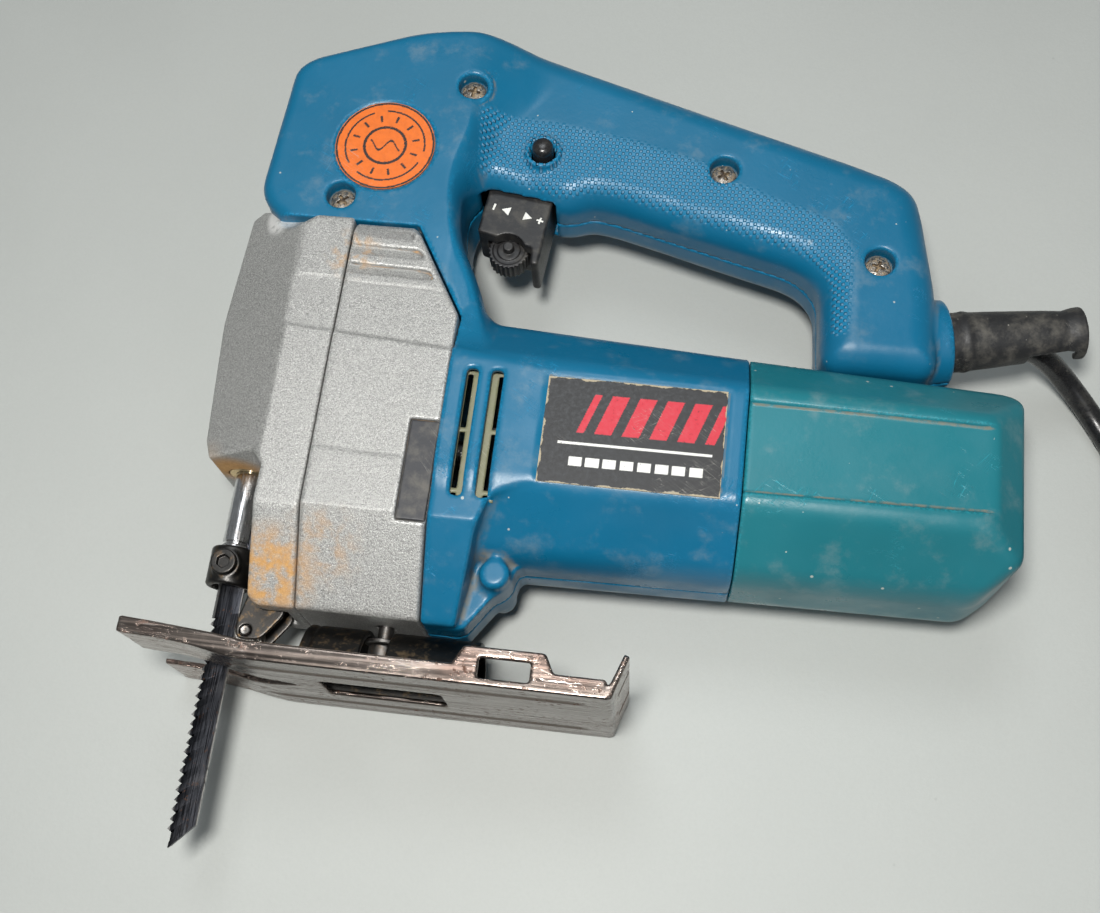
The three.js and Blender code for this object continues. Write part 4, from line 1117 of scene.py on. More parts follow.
class JIGSAW_OT_housing(Operator):
    """Moulds the two blue halves and the teal motor cover"""

    bl_idname = "jigsaw.housing"
    bl_label = "Housing and motor cover"

    def execute(self, context):
        step = sizes().body_step / MM
        dirt = (0.2, 0.17, 0.12)
        blue = moulded("blue plastic", colours().blue, dirt, grip=True)
        low, high = (-14, 17, 0), (203, 203.2, 30)
        left = skinned("left_half", left_half, low, high, step)
        right = skinned("right_half", right_half, (-14, 17, -30), (203, 203.2, 0), step)
        for piece, node in ((left, "housing_left"), (right, "housing_right")):
            spots = np.empty(len(piece.data.vertices) * 3)
            piece.data.vertices.foreach_get("co", spots)
            x, y, z = (spots.reshape(-1, 3) / MM - ORIGIN).T
            dotted = polygon(x, y, GRIP_DOTS, 4)
            inner = polygon(x, y, HANDLE, 6)
            # The grip mask places the pimples and the painted highlight over the dotted grip.
            note(
                piece, "grip",
                smoothstep(-dotted, 0, 2) * smoothstep(np.abs(z), 7, 10) * smoothstep(-inner, 2, 4))
            fit(piece, blue, "housing", [node], "blue_housing")
        formed(
            "motor_shell", cover, (COVER_X, 37, -30), (REAR_X, 107, 30), step,
            moulded("teal plastic", colours().teal, dirt), "housing", ["motor_cover"], "teal_cover")
        return {"FINISHED"}


# ---------------------------------------------------------------- gear case and nose


def gear_case(x, y, z):
    """The cast rear part: flat sides with a crease, shallow louvres near the top, and a notch for
    the side panel."""
    side = polygon(
        x, y,
        [
            (SEAM_X + SPLIT, 18), (CASE_REAR, 18), (CASE_REAR, 103.6), (36.2, 132),
            (SEAM_X + SPLIT, 132)])
    lean = 0.55 * smoothstep(y + 0.07 * (x - 5), 95.2, 96.4) + np.maximum(y - 96, 0) * 0.022
    body = common(side + 0 * z, section(y, z) + lean, 1.6)
    for low, right in ((126.3, 37.2), (120.2, 40.8), (114.0, 44.4)):
        drop = 0.03 * (x - SEAM_X)
        pocket = polygon(
            x, y + drop, [(10, low), (right + 0.4, low), (right - 1.5, low + 3.2), (10, low + 3.2)],
            1.6)
        floor_z = 27.8 - lean - 0.95 * (y + drop - low) / 3.2
        body = cut(body, np.maximum(pocket, floor_z - np.abs(z)), 0.35)
    ledge = polygon(
        x, y + 0.03 * (x - SEAM_X), [(10, 60), (60, 60), (60, 96), (48.5, 111.2), (10, 111.2)])
    body = cut(body, np.maximum(ledge, 27.75 - lean - np.abs(z)), 0.4)
    room = np.maximum(
        polygon(x, y, [(0, 34), (45.5, 34), (45.5, 101), (33.5, 128.8), (0, 128.8)]),
        section(y, z, 3.2))
    body = cut(body, room)
    d = np.sqrt((y - MOTOR_Y) ** 2 + z * z)
    body = cut(body, np.maximum(d - 11.3, 44 - x))
    body = cut(body, np.maximum(np.sqrt((y - 97.5) ** 2 + z * z) - 6.3, 44 - x))
    body = cut(body, np.maximum(disc(x, z, (42, 0), 2.4), y - 34))
    notch = block(x, y, z, (44.6, 42, 25.8), (60, 71, 34), 0.6)
    return cut(body, notch, 0.5)


def nose_plan(x, z, wall=0.0):
    """From above: a blunt wedge."""
    return polygon(
        z, x,
        [
            (-28 + wall, 60), (-28 + wall, 5.5), (-10 + wall, -19.4 + wall),
            (10 - wall, -19.4 + wall), (28 - wall, 5.5), (28 - wall, 60)])


def front_cover(x, y, z):
    """The cast nose: a blunt wedge over the plunger, open below, with a worn hollow at each top
    front corner."""
    side = polygon(
        x, y,
        [
            (SEAM_X - SPLIT, 18), (SEAM_X - SPLIT, 132), (5.5, 132), (-12.5, 137.8), (-16.5, 136),
            (-19.4, 102), (-16, 64), (-13.5, 58.5), (2, 58.5), (6, 54), (5.2, 20.5), (8, 18)],
        0.8)
    lean = 0.55 * smoothstep(y + 0.07 * (x - 5), 95.2, 96.4) + np.maximum(y - 96, 0) * 0.022
    body = common(side + 0 * z, section(np.maximum(np.minimum(y, 118), 0), z) + lean, 1.4)
    body = common(body, nose_plan(x, z) + 0 * y, 1.2)
    body = cut(body, within(y - 112, 27.7 - lean - np.abs(z), 4 - x), 0.4)
    pocket = np.sqrt(
        ((x + 3.5) / 11) ** 2 + ((y - 133.8) / 6.0) ** 2 + ((np.abs(z) - 26.3) / 7.2) ** 2) * 6 - 6
    body = cut(body, pocket, 0.8)
    room = within(
        polygon(
            x, y,
            [(40, 34), (11, 34), (9, 66), (-12, 66), (-14.5, 102), (-12.5, 128.5), (40, 128.5)]),
        section(y, z, 3.0), nose_plan(x, z, 3.0))
    body = cut(body, room)
    bridge = block(x, y, z, (-16.5, 112.9, -9), (1, 122.5, 9))
    body = join(body, bridge, 0.6)
    r = disc(x, z, (PLUNGER_X, 0), 0.0)
    body = cut(body, np.maximum(r - 6.3, between(y, 50, 123)))
    body = cut(body, np.maximum(r - 4.6, between(y, 120, 132.2)))
    return cut(body, block(x, y, z, (-2, 0, -7.4), (15.2, 30, 7.4)), 0.4)


class JIGSAW_OT_castings(Operator):
    """Casts the gear case and nose, and fits the dark side panel"""

    bl_idname = "jigsaw.castings"
    bl_label = "Gear case and nose"

    def execute(self, context):
        step = sizes().cast_step / MM
        alloy = cast("cast alloy", colours().alloy, True)
        formed(
            "gear_casting", gear_case, (SEAM_X, 18, -28), (CASE_REAR, 132, 28), step, alloy,
            "housing", ["gear_case"], "cast_alloy")
        formed(
            "nose_casting", front_cover, (-19.5, 18, -28), (SEAM_X, 138, 28), step, alloy,
            "housing", ["front_cover"], "cast_alloy")

        def panel(x, y, z):
            return block(x, y, z, (44.9, 42.3, 26.1), (52.8, 70.7, 27.1), 0.3)

        formed(
            "side_panel", panel, (44.9, 42.3, 26.1), (52.8, 70.7, 27.1), 0.3,
            dull("panel plastic", (0.03, 0.031, 0.036), 0.5, 0.35), "housing", ["side_insert"],
            "black_plastic")
        return {"FINISHED"}


# ---------------------------------------------------------------- plunger, blade and roller


def cross_slots(x, y, z, at, top, reach, width, turn=0.0):
    """A cross-head screw's recess: two crossed slots, tapering down from the top."""
    c, s = math.cos(turn), math.sin(turn)
    u, v = c * (x - at[0]) + s * (y - at[1]), c * (y - at[1]) - s * (x - at[0])
    deep = top - 1.5 - z
    arms = np.minimum(
        np.maximum(np.abs(u) - reach, np.abs(v) - width),
        np.maximum(np.abs(v) - reach, np.abs(u) - width))
    return np.maximum(arms, deep)


def hexagon(u, v, half):
    """Distance to a hexagon's sides: the radius turned into one sixth of a turn, less half the
    width."""
    sixth = (np.arctan2(v, u) + np.pi / 6) % (np.pi / 3) - np.pi / 6
    return np.sqrt(u * u + v * v) * np.cos(sixth) - half


class JIGSAW_OT_plunger(Operator):
    """Turns the bright plunger rod, the blade collar and its screw, and stamps the toothed blade"""

    bl_idname = "jigsaw.plunger"
    bl_label = "Plunger and blade"

    def execute(self, context):
        def rod(x, y, z):
            r = disc(x, z, (PLUNGER_X, 0), 3.95)
            body = carried(r, between(y, 26, 121.5), 0.4)
            body = cut(body, np.maximum(np.abs(r + 0.2) - 0.35, between(y, 37.2, 38.0)))
            return cut(body, block(x, y, z, (-9.6, 10, -0.95), (1, 44.6, 0.95)), 0.2)

        piece = skinned("plunger_bar", rod, (-9, 26, -4), (-1, 121.5, 4), 0.4)
        chrome = metal(
            "bright steel", (0.72, 0.72, 0.73), 0.16, (1, 0.1, 1), (0.2, 0.13, 0.08), 0.45)
        fit(piece, chrome, "plunger", ["plunger_rod"], "bright_steel")

        def collar(x, y, z):
            r = disc(x, z, (PLUNGER_X, 0), 6.35)
            body = carried(r, between(y, 25, 36.1), 0.8)
            body = join(
                body, carried(disc(x, y, (PLUNGER_X, 30.5), 4.1), between(z, 2, 6.2), 0.5), 1.0)
            body = cut(body, r + 6.35 - 4.2, 0.3)
            body = cut(body, np.maximum(disc(x, y, (PLUNGER_X, 30.5), 2.2), 2 - z), 0.3)
            return cut(body, block(x, y, z, (-9.6, 10, -0.95), (1, 44, 0.95)), 0.2)

        piece = skinned("clamp_collar", collar, (-11.4, 25, -6.4), (1.4, 36.1, 6.4), 0.35)
        dark = metal(
            "blackened steel", (0.06, 0.058, 0.056), 0.38, (1, 1, 1), (0.2, 0.13, 0.07), 0.55)
        fit(piece, dark, "plunger", ["blade_collar"], "blackened_steel")

        def screw(x, y, z):
            r = disc(x, y, (PLUNGER_X, 30.5), 0.0)
            body = np.minimum(
                carried(r - 1.9, between(z, 4.6, 7.2), 0.1),
                carried(r - 3.65, between(z, 6.8, 8.95), 0.5))
            return cut(body, np.maximum(hexagon(x - PLUNGER_X, y - 30.5, 1.7), 7.5 - z), 0.15)

        formed(
            "clamp_screw_head", screw, (-8.8, 26.8, 4.6), (-1.2, 34.2, 8.95), 0.22, dark, "plunger",
            ["collar_screw"], "blackened_steel")

        # Rows run down the blade from y = 44 to the slanted tip. The front edge steps back and out
        # once per tooth, and each tooth leans a little to one side or the other. Columns go round a
        # section: front, left, back, right.
        pitch, rows, shank_x, root_x = 2.54, 620, -7.6, -6.35
        t = np.linspace(0, 1, rows)
        front_y, back_y = 44 - 90.6 * t, 44 - 83.8 * t
        down = np.clip(16 - front_y, 0, None)
        phase = (down / pitch) % 1.0
        tooth = np.where(
            phase < 0.72, root_x - 1.25 * (phase / 0.72), shank_x + 1.25 * (phase - 0.72) / 0.28)
        front = np.where(
            (front_y < 16) & (front_y > -42.5), tooth, np.where(front_y >= 16, shank_x, -6.5))
        front[-1] = -6.4
        lean = np.where(front_y < 16, 0.26 * np.cos(np.pi * np.floor(down / pitch)), 0.0)
        columns = [
            (0.0, 0.12, 1), (0.13, 0.55, 0.3), (0.3, 0.6, 0.1), (0.65, 0.6, 0), (0.95, 0.58, 0),
            (1.0, 0.4, 0)]
        ring = columns + [(s, -w, b) for s, w, b in columns[::-1]]
        share, width, bend = (np.array(c) for c in zip(*ring))
        plain = np.where(front_y >= 16, shank_x, root_x)[:, None]
        x = plain * (1 - share) + (front[:, None] - plain) * (share < 0.05)
        y = front_y[:, None] * (1 - share) + back_y[:, None] * share
        z = np.broadcast_to(width, x.shape) * np.where(bend == 1, 0.8, 1.0) + lean[:, None] * bend
        z = np.clip(z, -0.6, 0.6)
        grid = np.stack([x, y, z], 2)
        ends = [
            grid[:1].mean(1, keepdims=True).repeat(len(ring), 1),
            grid[-1:].mean(1, keepdims=True).repeat(len(ring), 1)]
        grid = np.concatenate([ends[0], grid, ends[1]])
        blade = tidy(
            make("toothed_blade", grid.reshape(-1, 3), [grid_faces(rows + 2, len(ring))]), 25)
        f = Finish("blade steel", 0.3, 1.0)
        lines = f.noise(3.0, 3.0, stretch=(1.0, 0.04, 1.0))
        x_place = f.node("SeparateXYZ", f.place).outputs[0]
        worn = f.math("MULTIPLY", f.ramp(x_place, -0.35, 0.1), f.ramp(f.noise(0.5, 3.0), 0.3, 0.5))
        tips = f.ramp(x_place, -6.6, -7.2)
        base = f.blend(lines, (0.018, 0.019, 0.023), (0.05, 0.052, 0.06))
        base = f.blend(f.ramp(f.noise(0.12, 4.0), 0.45, 0.7, 0.0, 0.6), base, (0.08, 0.08, 0.085))
        base = f.blend(f.math("MULTIPLY", f.most(worn, tips), 0.8), base, (0.62, 0.6, 0.58))
        rust = f.math("MULTIPLY", f.ramp(f.noise(0.7, 5.0, 0.7), 0.6, 0.68), 0.6)
        base = f.blend(rust, base, (0.16, 0.07, 0.03))
        f.set(base, f.ramp(lines, 0.3, 0.7, 0.22, 0.42), [(lines, 0.02)])
        fit(blade, f.material, "plunger", ["blade"], "blade_steel")
        return {"FINISHED"}


class JIGSAW_OT_roller(Operator):
    """Forms the fork that carries the blade's guide roller, with its pin and domed rivet"""

    bl_idname = "jigsaw.roller"
    bl_label = "Roller guide"

    def execute(self, context):
        dark = metal("fork steel", (0.07, 0.066, 0.062), 0.4, (1, 1, 1), (0.3, 0.19, 0.09), 0.7)
        bright = metal("roller steel", (0.4, 0.38, 0.36), 0.3, (1, 1, 0.1), (0.13, 0.09, 0.05), 0.6)

        def fork(x, y, z):
            arm = polygon(
                x, y, [(4.2, 28), (11, 28), (14.6, 18.5), (8.6, 10.2), (1.4, 10.2), (1.2, 15)], 2.5)
            body = carried(arm, np.abs(z) - 5.6, 0.4)
            body = cut(body, block(x, y, z, (-3, 0, -4.3), (20, 25.4, 4.3), 0.3), 0.3)
            body = cut(body, disc(x, y, (4.2, 12.5), 1.7) + 0 * z, 0.2)
            return cut(body, disc(x, y, (7.6, 22.2), 2.2) + 0 * z, 0.2)

        formed(
            "roller_fork", fork, (1, 10, -5.6), (14.7, 28, 5.6), 0.3, dark, "housing",
            ["roller_bracket"], "blackened_steel")
        groove = [
            (1.75, -3.8), (3.3, -3.8), (3.5, -3.6), (3.5, -1.4), (3.3, -1.0), (2.9, -0.9),
            (2.9, 0.9), (3.3, 1.0), (3.5, 1.4), (3.5, 3.6), (3.3, 3.8), (1.75, 3.8), (1.75, -3.8)]
        roller = turned("grooved_roller", groove, "z", (4.2, 12.5, 0), 64)
        fit(roller, bright, "roller", ["guide_roller"], "steel")
        pin = turned(
            "fork_pin",
            [(0, -6), (1.1, -6), (1.4, -5.7), (1.4, 5.7), (1.1, 6), (0.35, 5.9), (0, 5.6)], "z",
            (4.2, 12.5, 0), 40)
        fit(pin, bright, "housing", ["roller_pin"], "steel")
        rivet = [
            (0, -6.3), (1.6, -6.3), (1.9, -6.0), (1.9, 5.9), (2.7, 5.9), (2.65, 6.2), (2.3, 6.6),
            (1.5, 6.9), (0.6, 7.0), (0, 7.0)]
        fit(
            turned("fork_rivet", rivet, "z", (7.6, 22.2, 0), 40), dark, "housing",
            ["bracket_rivet"], "blackened_steel")
        return {"FINISHED"}


# ---------------------------------------------------------------- shoe


SOLE_LINE = [(106, 0), (18, 0), (11, 0.1), (6, 0.7), (-2, 2.2), (-10, 3.1), (-21.5, 3.6)]


def shoe(x, y, z):
    """A pressed sheet with its sides turned up and its rear flared: a sole with the blade's slot
    and a window, two upright edges that rise at the front and at the guide's slots, and ridges
    pressed along it."""
    under = np.interp(x, [p[0] for p in SOLE_LINE[::-1]], [p[1] for p in SOLE_LINE[::-1]])
    ridge = 0.45 * smoothstep(
        -np.abs(np.abs(z) - 19.0), -2.4, -0.8) * smoothstep(x, 4, 12) * smoothstep(-x, -103, -96)
    sheet = np.maximum(np.abs(y - under - 0.8 - ridge) - 0.72, between(x, -21.6, 105.6))
    tail = polygon(
        x, y, [(104.2, 0.1), (104.4, 1.6), (105.6, 2.0), (109.2, 12), (110.6, 11.4), (107, 0.3)],
        0.4)
    sheet = join(sheet, tail + 0 * z, 0.8)
    sheet = common(sheet, np.abs(z) - HALF_WIDTH, 0.8)
    sheet = cut(sheet, within(106.3 - x, np.abs(np.abs(z) - 14) - 1.1, 4.5 - y), 0.3)
    rim = polygon(
        x, y,
        [
            (105.4, 5), (105.4, 0), (18, 0), (11, 0.1), (6, 0.7), (-2, 2.2), (-10, 3.1),
            (-21.5, 3.6), (SHOE_FRONT + 0.1, 8), (-13, 7.4), (2, 6.2), (12, 5), (66, 5), (68.5, 10),
            (89.5, 10), (92, 5)],
        1.0)
    side = carried(rim, np.abs(np.abs(z) - HALF_WIDTH + 0.85) - 0.84, 0.5)
    body = join(sheet, side, 1.6)
    body = np.maximum(body, np.abs(z) - HALF_WIDTH)
    body = np.maximum(body, -(y - under))
    slot = polygon(
        x, z,
        [
            (-40, -10.5), (-8, -8.6), (6, -5.5), (19.5, -0.9), (19.5, 0.9), (6, 5.5), (-8, 8.6),
            (-40, 10.5)],
        0.8)
    body = cut(body, slot + 0 * y, 0.5)
    window = polygon(x, z, [(27.5, -9), (61, -9), (61, 9), (27.5, 9)], 2)
    body = cut(body, np.maximum(window + 0 * y, y - 8), 0.5)
    return cut(body, block(x, y, z, (72.7, 2, -40), (86, 7.2, 40), 0.8), 0.5)


def saddle(x, y, z):
    """A half tube on the shoe, with flared ends and a slot across its top for the clamp screw."""
    r = np.sqrt((y - 1) ** 2 + z * z)
    wall = np.maximum(np.abs(r - 15) - 0.95, 1.95 - y)
    body = common(wall + 0 * x, between(x, 22.1, 69.9), 0.6)
    slot = block(x, y, z, (38.4, 5.0, -30), (45.6, 30, 30), 1.0)
    body = cut(body, slot, 0.4)
    for at in (24.5, 67.5):
        body = cut(body, np.sqrt((x - at) ** 2 + (r - 16.1) ** 2) - 0.6, 0.5)
    return body


class JIGSAW_OT_shoe(Operator):
    """Presses the chromed shoe and its tilting saddle, with the clamp screw and washer"""

    bl_idname = "jigsaw.shoe"
    bl_label = "Shoe and saddle"

    def execute(self, context):
        step = sizes().sheet_step / MM
        chrome = worn_chrome("worn chrome", colours().chrome, (0.11, 0.05, 0.03))
        formed(
            "pressed_shoe", shoe, (-22.4, 0, -30), (110.6, 12, 30), step, chrome, "shoe", ["shoe"],
            "shoe_chrome")
        black = metal(
            "saddle paint", (0.035, 0.034, 0.033), 0.42, (0.2, 1, 1), (0.3, 0.21, 0.12), 0.5)
        formed(
            "saddle_tube", saddle, (22, 1.9, -16), (70, 17, 16), 0.5, black, "shoe",
            ["tilt_saddle"], "blackened_steel")

        top = 13.1
        steel = metal("screw steel", (0.13, 0.125, 0.12), 0.4, (1, 1, 1), (0.12, 0.08, 0.05), 0.6)

        def screw(x, y, z):
            r = disc(x, z, (42, 0), 0.0)
            body = np.minimum(
                carried(r - 4, between(y, top - 3.6, top), 0.4),
                carried(r - 2.1, between(y, top - 1, 30), 0.3))
            return cut(body, np.maximum(hexagon(x - 42, z, 1.8), y - top + 1.6), 0.15)

        formed(
            "clamp_bolt", screw, (38, top - 3.6, -4), (46, 30, 4), 0.3, steel, "housing",
            ["shoe_clamp_screw"], "steel")
        washer = [
            (2.6, 13.3), (4.9, 13.3), (5.2, 13.5), (5.2, 14.3), (4.9, 14.5), (2.6, 14.5),
            (2.6, 13.3)]
        fit(
            turned("clamp_ring", washer, "y", (42, 0, 0), 56), steel, "housing", ["clamp_washer"],
            "steel")
        return {"FINISHED"}


# ---------------------------------------------------------------- trigger, screws and stickers


def ink_plate(name, shape, inks, at, thickness):
    """A thin sticker as a fine grid. shape gives (u, v) for a unit square's points; inks gives each
    ink's numbers."""
    rows, columns = shape[2]
    u, v = np.meshgrid(np.linspace(0, 1, rows), np.linspace(0, 1, columns), indexing="ij")
    x, y = shape[0](u, v), shape[1](u, v)
    top = np.stack([x, y, np.full_like(x, at + thickness)], 2)
    under = np.stack([x, y, np.full_like(x, at)], 2)
    points = np.concatenate([top.reshape(-1, 3), under.reshape(-1, 3)])
    faces = grid_faces(rows, columns, wrap_columns=False)
    n = rows * columns
    border = np.concatenate(
        [
            np.arange(columns), np.arange(1, rows) * columns + columns - 1,
            (rows - 1) * columns + np.arange(columns - 2, -1, -1),
            np.arange(rows - 2, 0, -1) * columns])
    after = np.roll(border, -1)
    walls = np.stack([border, after, after + n, border + n], 1)
    piece = make(name, points, [faces, faces[:, ::-1] + n, walls])
    for ink, values in inks(x, y).items():
        note(piece, ink, np.concatenate([values.ravel(), values.ravel()]))
    return tidy(piece, 40)


class JIGSAW_OT_controls(Operator):
    """Moulds the trigger with its thumb wheel and marks, and the lock button"""

    bl_idname = "jigsaw.controls"
    bl_label = "Trigger and switch"

    def execute(self, context):
        step = sizes().small_step / MM
        black = dull("trigger plastic", tuple(colours().black), 0.42, 0.22, 2.2, 0.03)

        def trigger(x, y, z):
            side = polygon(
                x, y,
                [
                    (53.6, 161.5), (73, 156.5), (72.4, 147.7), (70.8, 131.1), (68.3, 131.3),
                    (68.2, 136.8), (51.1, 141)],
                1.2)
            body = carried(side, np.abs(z) - 8.2, 0.9)
            body = cut(body, np.maximum(disc(x, y, DIAL, 7.0), np.abs(z) - 3.6), 0.3)
            body = cut(body, np.maximum(disc(x, y, (60.8, 135.2), 5.6), 3 - z), 0.3)
            return cut(body, np.maximum(disc(x, y, DIAL, 1.9), np.abs(z) - 6))

        formed(
            "trigger_body", trigger, (50.3, 131, -8.2), (73.1, 161.5, 8.2), step, black, "trigger",
            ["trigger"], "black_plastic")

        def dial(x, y, z):
            dx, dy = x - DIAL[0], y - DIAL[1]
            r, angle = np.sqrt(dx * dx + dy * dy), np.arctan2(dy, dx)
            teeth = 0.38 * smoothstep(np.cos(26 * angle), -0.3, 0.5)
            wheel = carried(r - 5.9 - teeth, np.abs(z) - 3.15, 0.3)
            wheel = cut(wheel, np.maximum(np.abs(r - 4.2) - 0.7, 2.7 - np.abs(z)), 0.3)
            return np.minimum(wheel, carried(r - 1.55, np.abs(z) - 5.55, 0.2))

        formed(
            "thumb_wheel", dial, (54.4, 131.6, -5.6), (67.2, 144.4, 5.6), 0.26, black, "dial",
            ["speed_dial"], "black_plastic")

        # The marks stand 0.06 proud of the trigger's left side: a minus, two arrowheads and a plus.
        def marks(x, y, z):
            c, s = math.cos(0.245), math.sin(0.245)
            u, v = c * (x - 62.3) - s * (y - 147.8), s * (x - 62.3) + c * (y - 147.8)
            minus = np.maximum(np.abs(u + 7.3) - 0.35, np.abs(v) - 1.1)
            plus = np.minimum(
                np.maximum(np.abs(u - 7.6) - 1.1, np.abs(v) - 0.3),
                np.maximum(np.abs(u - 7.6) - 0.3, np.abs(v) - 1.1))
            left = np.maximum(np.abs(v) - 0.55 * (u + 4.9), u + 2.2)
            right = np.maximum(np.abs(v) - 0.55 * (5.1 - u), 2.4 - u)
            flat = either(minus, plus, left, right)
            return np.maximum(flat, between(z, 8.0, 8.27))

        formed(
            "trigger_marks", marks, (52.5, 144, 8.0), (72.5, 152, 8.27), 0.16,
            dull("mark paint", (0.72, 0.72, 0.68), 0.5, 0.2), "trigger", [], "label")

        button = [
            (0, 10.5), (3.0, 10.5), (3.2, 10.7), (3.2, 18.7), (3.05, 19.4), (2.6, 20.0),
            (1.8, 20.4), (0.9, 20.58), (0, 20.6)]
        fit(
            turned("button", button, "z", (*LOCK, 0), 56),
            dull("button plastic", tuple(colours().black), 0.24, 0.1, 1.5, 0.01), "lock",
            ["lock_button"], "black_plastic")
        return {"FINISHED"}


class JIGSAW_OT_screws(Operator):
    """Cuts the four cross-head case screws"""

    bl_idname = "jigsaw.screws"
    bl_label = "Case screws"

    def execute(self, context):
        f = Finish("old screw steel", 0.4, 0.9)
        edge = f.kept("edge")
        grit = f.ramp(f.noise(0.9, 4.0, 0.7), 0.42, 0.6)
        dirt = f.most(f.ramp(edge, -0.1, -0.5), f.math("MULTIPLY", grit, 0.75))
        base = f.blend(f.noise(1.5, 3.0), (0.16, 0.14, 0.12), (0.4, 0.38, 0.35))
        base = f.blend(dirt, base, f.blend(grit, (0.05, 0.035, 0.025), (0.3, 0.22, 0.13)))
        f.set(base, f.math("ADD", 0.35, f.math("MULTIPLY", dirt, 0.4)), [(grit, 0.08)],
              f.math("SUBTRACT", 0.9, f.math("MULTIPLY", dirt, 0.8)))
        for number, (x0, y0, face) in enumerate(CASE_SCREWS, 1):
            top = face - 3

            def screw(x, y, z, at=(x0, y0), top=top, turn=0.7 * number):
                r = disc(x, y, at, 0.0)
                dome = np.sqrt(r * r + (z - top + 7.5) ** 2) - 7.5
                head = common(np.maximum(r - 3.65, top - 2.2 - z), dome, 0.4)
                body = np.minimum(head, np.maximum(r - 1.5, between(z, -8.5, top - 1)))
                return cut(body, cross_slots(x, y, z, at, top, 1.9, 0.42, turn), 0.15)

            formed(
                f"screw_{number}", screw, (x0 - 3.7, y0 - 3.7, -8.6), (x0 + 3.7, y0 + 3.7, top),
                0.27, f.material, "housing", [f"case_screw_{number}"], "steel")
        return {"FINISHED"}


class JIGSAW_OT_stickers(Operator):
    """Prints the plain striped plate on the motor and the round badge on the head"""

    bl_idname = "jigsaw.stickers"
    bl_label = "Plate and badge"

    def execute(self, context):
        def plate_inks(x, y):
            """Five slanted red bars over a white rule and a row of white blocks."""
            u, v = x - 81, y - 55.5
            slant = (u - 0.35 * v) / 7.4
            bar = (
                np.abs((slant % 1) - 0.5) < 0.31
            ) & (u - 0.35 * v > 4) & (u - 0.35 * v < 41) & (np.abs(v - 20.5) < 5.6)
            rule = (np.abs(v - 11.6) < 0.4) & (np.abs(u - 25.2) < 20.6)
            blocks = (np.abs(v - 6.6) < 1.25) & (u > 8) & (u < 44) & (((u - 8) % 4.6) < 3.5)
            corner = either(u, 48.7 - u, v, 30.5 - v)
            return {"red": bar * 1.0, "white": (rule | blocks) * 1.0, "rim": corner + 0.0}

        wide = (lambda u, v: 81.05 + 48.6 * u, lambda u, v: 55.55 + 30.4 * v, (210, 132))
        plate = ink_plate("striped_plate", wide, plate_inks, 29.7, 0.24)
        fit(
            plate,
            printed(
                "plate print", (0.012, 0.012, 0.013),
                {"red": (0.5, 0.012, 0.03), "white": (0.75, 0.75, 0.72)}),
            "housing", ["name_plate"], "label")

        def badge_inks(x, y):
            """A thin black ring with a wavy line across a small disc."""
            dx, dy = x - BADGE_CENTRE[0], y - BADGE_CENTRE[1]
            r, angle = np.sqrt(dx * dx + dy * dy), np.arctan2(dy, dx)
            ring = (np.abs(r - 11.9) < 0.28) & (np.abs(np.sin(angle * 1.5 + 0.4)) > 0.25)
            rim = np.abs(r - 14.5) < 0.3
            core = (np.abs(r - 6.2) < 0.45) | (
                (np.abs(dy - 1.7 * np.sin(dx * 0.95)) < 0.42) & (r < 4.8))
            ticks = (np.abs(r - 9.3) < 1.1) & (
                np.abs(((angle / (2 * np.pi) * 12) % 1) - 0.5) < 0.07)
            return {"black": (ring | rim | core | ticks) * 1.0, "rim": (15 - r) * 3.0 + 1.2}

        def around(u, v):
            a, b = 2 * u - 1, 2 * v - 1
            return a * np.sqrt(1 - b * b / 2), b * np.sqrt(1 - a * a / 2)

        disc_shape = (
            lambda u, v: BADGE_CENTRE[0] + 14.95 * around(u, v)[0],
            lambda u, v: BADGE_CENTRE[1] + 14.95 * around(u, v)[1], (150, 150))
        badge = ink_plate("badge_disc", disc_shape, badge_inks, 23.7, 0.24)
        fit(
            badge, printed("badge print", tuple(colours().orange), {"black": (0.02, 0.012, 0.01)}),
            "housing", ["round_badge"], "badge")
        return {"FINISHED"}


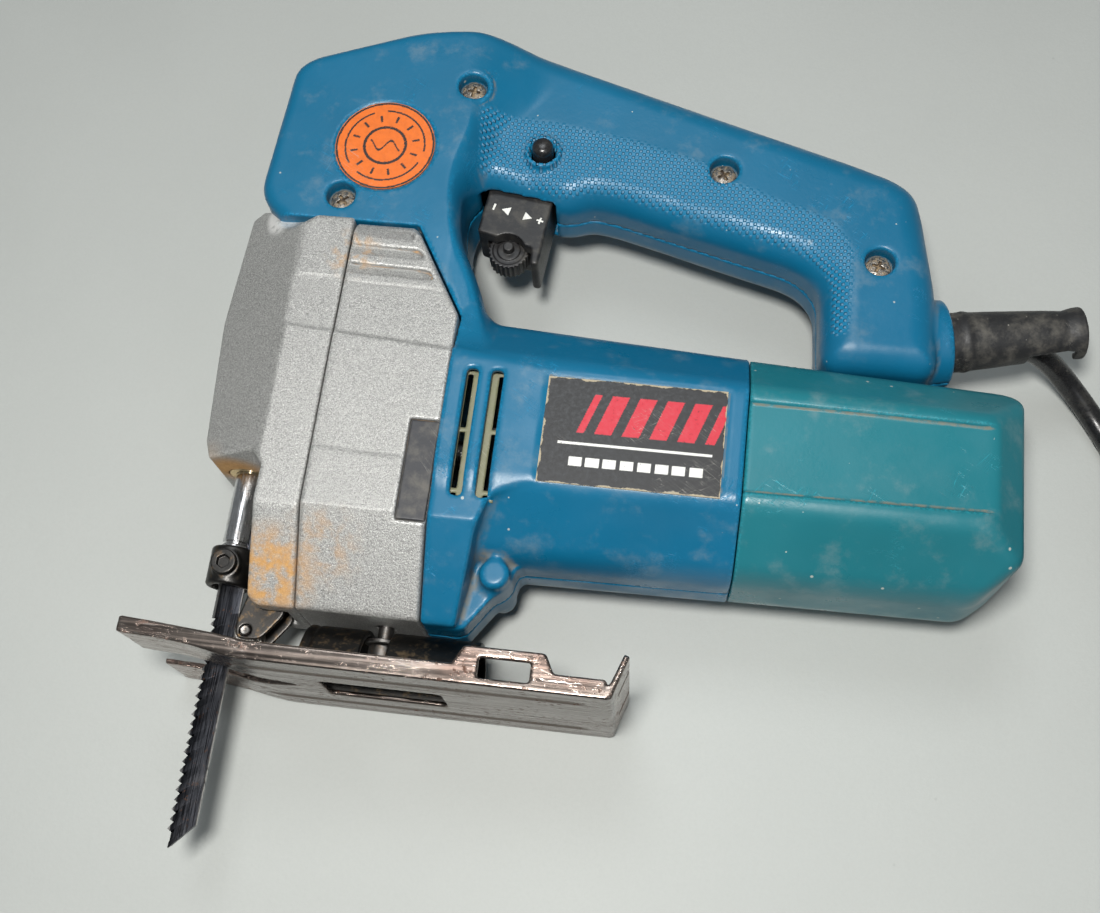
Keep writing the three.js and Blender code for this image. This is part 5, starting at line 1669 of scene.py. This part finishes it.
class JIGSAW_OT_inside(Operator):
    """Gives the motor, gears, bearings, bushes and brushes inside their finishes, and fits ribs
    behind the vents"""

    bl_idname = "jigsaw.inside"
    bl_label = "Parts inside"

    def execute(self, context):
        steel = metal("inner steel", (0.48, 0.48, 0.47), 0.3, (0.1, 1, 1), (0.15, 0.1, 0.06), 0.3)
        layers = metal(
            "laminations", (0.2, 0.2, 0.21), 0.45, (8, 0.2, 0.2), (0.14, 0.08, 0.05), 0.4)
        copper = metal("copper", (0.7, 0.3, 0.14), 0.35, (1, 6, 1), (0.2, 0.08, 0.03), 0.35)
        brass = metal("brass", (0.68, 0.5, 0.24), 0.3, (1, 1, 1), (0.25, 0.16, 0.07), 0.4)
        black = dull("inner plastic", (0.014, 0.014, 0.015), 0.5, 0.35)
        carbon = dull("carbon", (0.02, 0.02, 0.02), 0.6, 0.1, 4.0, 0.05)
        finishes = {
            steel: [
                "armature_shaft", "pinion", "drive_gear", "gear_shaft", "front_bearing",
                "rear_bearing", "scotch_yoke"],
            layers: ["armature_core", "field_stator"],
            copper: [
                "winding_front", "winding_rear", "commutator", "field_coil_upper",
                "field_coil_lower"],
            brass: [
                "gear_bush", "lower_bush", "upper_bush", "brush_holder_left", "brush_holder_right"],
            black: ["cooling_fan", "switch_body", "cord_clamp"],
            carbon: ["carbon_brush_left", "carbon_brush_right"]}
        for finish, names in finishes.items():
            for name in names:
                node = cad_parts[name]
                node.data.materials.clear()
                node.data.materials.append(finish)

        def ribs(x, y, z):
            """A plate behind the vents with two long gaps, and a rib beside each gap."""
            a = np.abs(z)
            plate = within(between(x, 57.6, 70.0), between(y, 49.5, 87), between(a, 25.6, 26.3))
            hole = within(
                np.abs(((y - 52) / 17.5) % 1 - 0.5) * 17.5 - 8.1, between(y, 50, 86),
                np.abs(np.abs(x - 63.5) - 4.4) - 0.75)
            plate = cut(plate, hole + 0 * z, 0.2)
            bars = within(
                np.abs(np.abs(x - 63.5) - 2.6) - 0.5, between(y, 50, 86), between(a, 24.4, 26.0))
            return np.minimum(plate, bars)

        cream = dull("vent plastic", (0.17, 0.17, 0.1), 0.5, 0.35)
        for side, low in (("left", 24.3), ("right", -26.4)):
            def one(x, y, z, s=1 if side == "left" else -1):
                return np.maximum(ribs(x, y, z), -s * z)

            formed(
                f"vent_ribs_{side}", one, (57.5, 49.4, low), (70.1, 87.1, low + 2.1), 0.45, cream,
                "housing", [], "black_plastic")
        return {"FINISHED"}


# ---------------------------------------------------------------- panel and registration


OPERATORS = (
    JIGSAW_OT_stage, JIGSAW_OT_cord, JIGSAW_OT_boot, JIGSAW_OT_housing, JIGSAW_OT_castings,
    JIGSAW_OT_plunger, JIGSAW_OT_roller, JIGSAW_OT_shoe, JIGSAW_OT_controls, JIGSAW_OT_screws,
    JIGSAW_OT_stickers, JIGSAW_OT_inside)


class JIGSAW_PT_panel(Panel):
    """Lists the tool's pieces in the order in which they are made"""

    bl_idname = "JIGSAW_PT_panel"
    bl_label = "Jigsaw"
    bl_space_type = "VIEW_3D"
    bl_region_type = "UI"
    bl_category = "Jigsaw"

    def draw(self, context):
        for group in (context.scene.jigsaw_sizes, context.scene.jigsaw_colours):
            for name in group.__annotations__:
                self.layout.prop(group, name)
        for operator in OPERATORS:
            self.layout.operator(operator.bl_idname)


CLASSES = (JigsawSizes, JigsawColours, *OPERATORS, JIGSAW_PT_panel)


def register():
    for kind in CLASSES:
        bpy.utils.register_class(kind)
    bpy.types.Scene.jigsaw_sizes = PointerProperty(type=JigsawSizes)
    bpy.types.Scene.jigsaw_colours = PointerProperty(type=JigsawColours)


def unregister():
    del bpy.types.Scene.jigsaw_colours
    del bpy.types.Scene.jigsaw_sizes
    for kind in reversed(CLASSES):
        bpy.utils.unregister_class(kind)


def main():
    register()
    for operator in OPERATORS:
        group, name = operator.bl_idname.split(".")
        getattr(getattr(bpy.ops, group), name)()


if __name__ == "__main__":
    main()
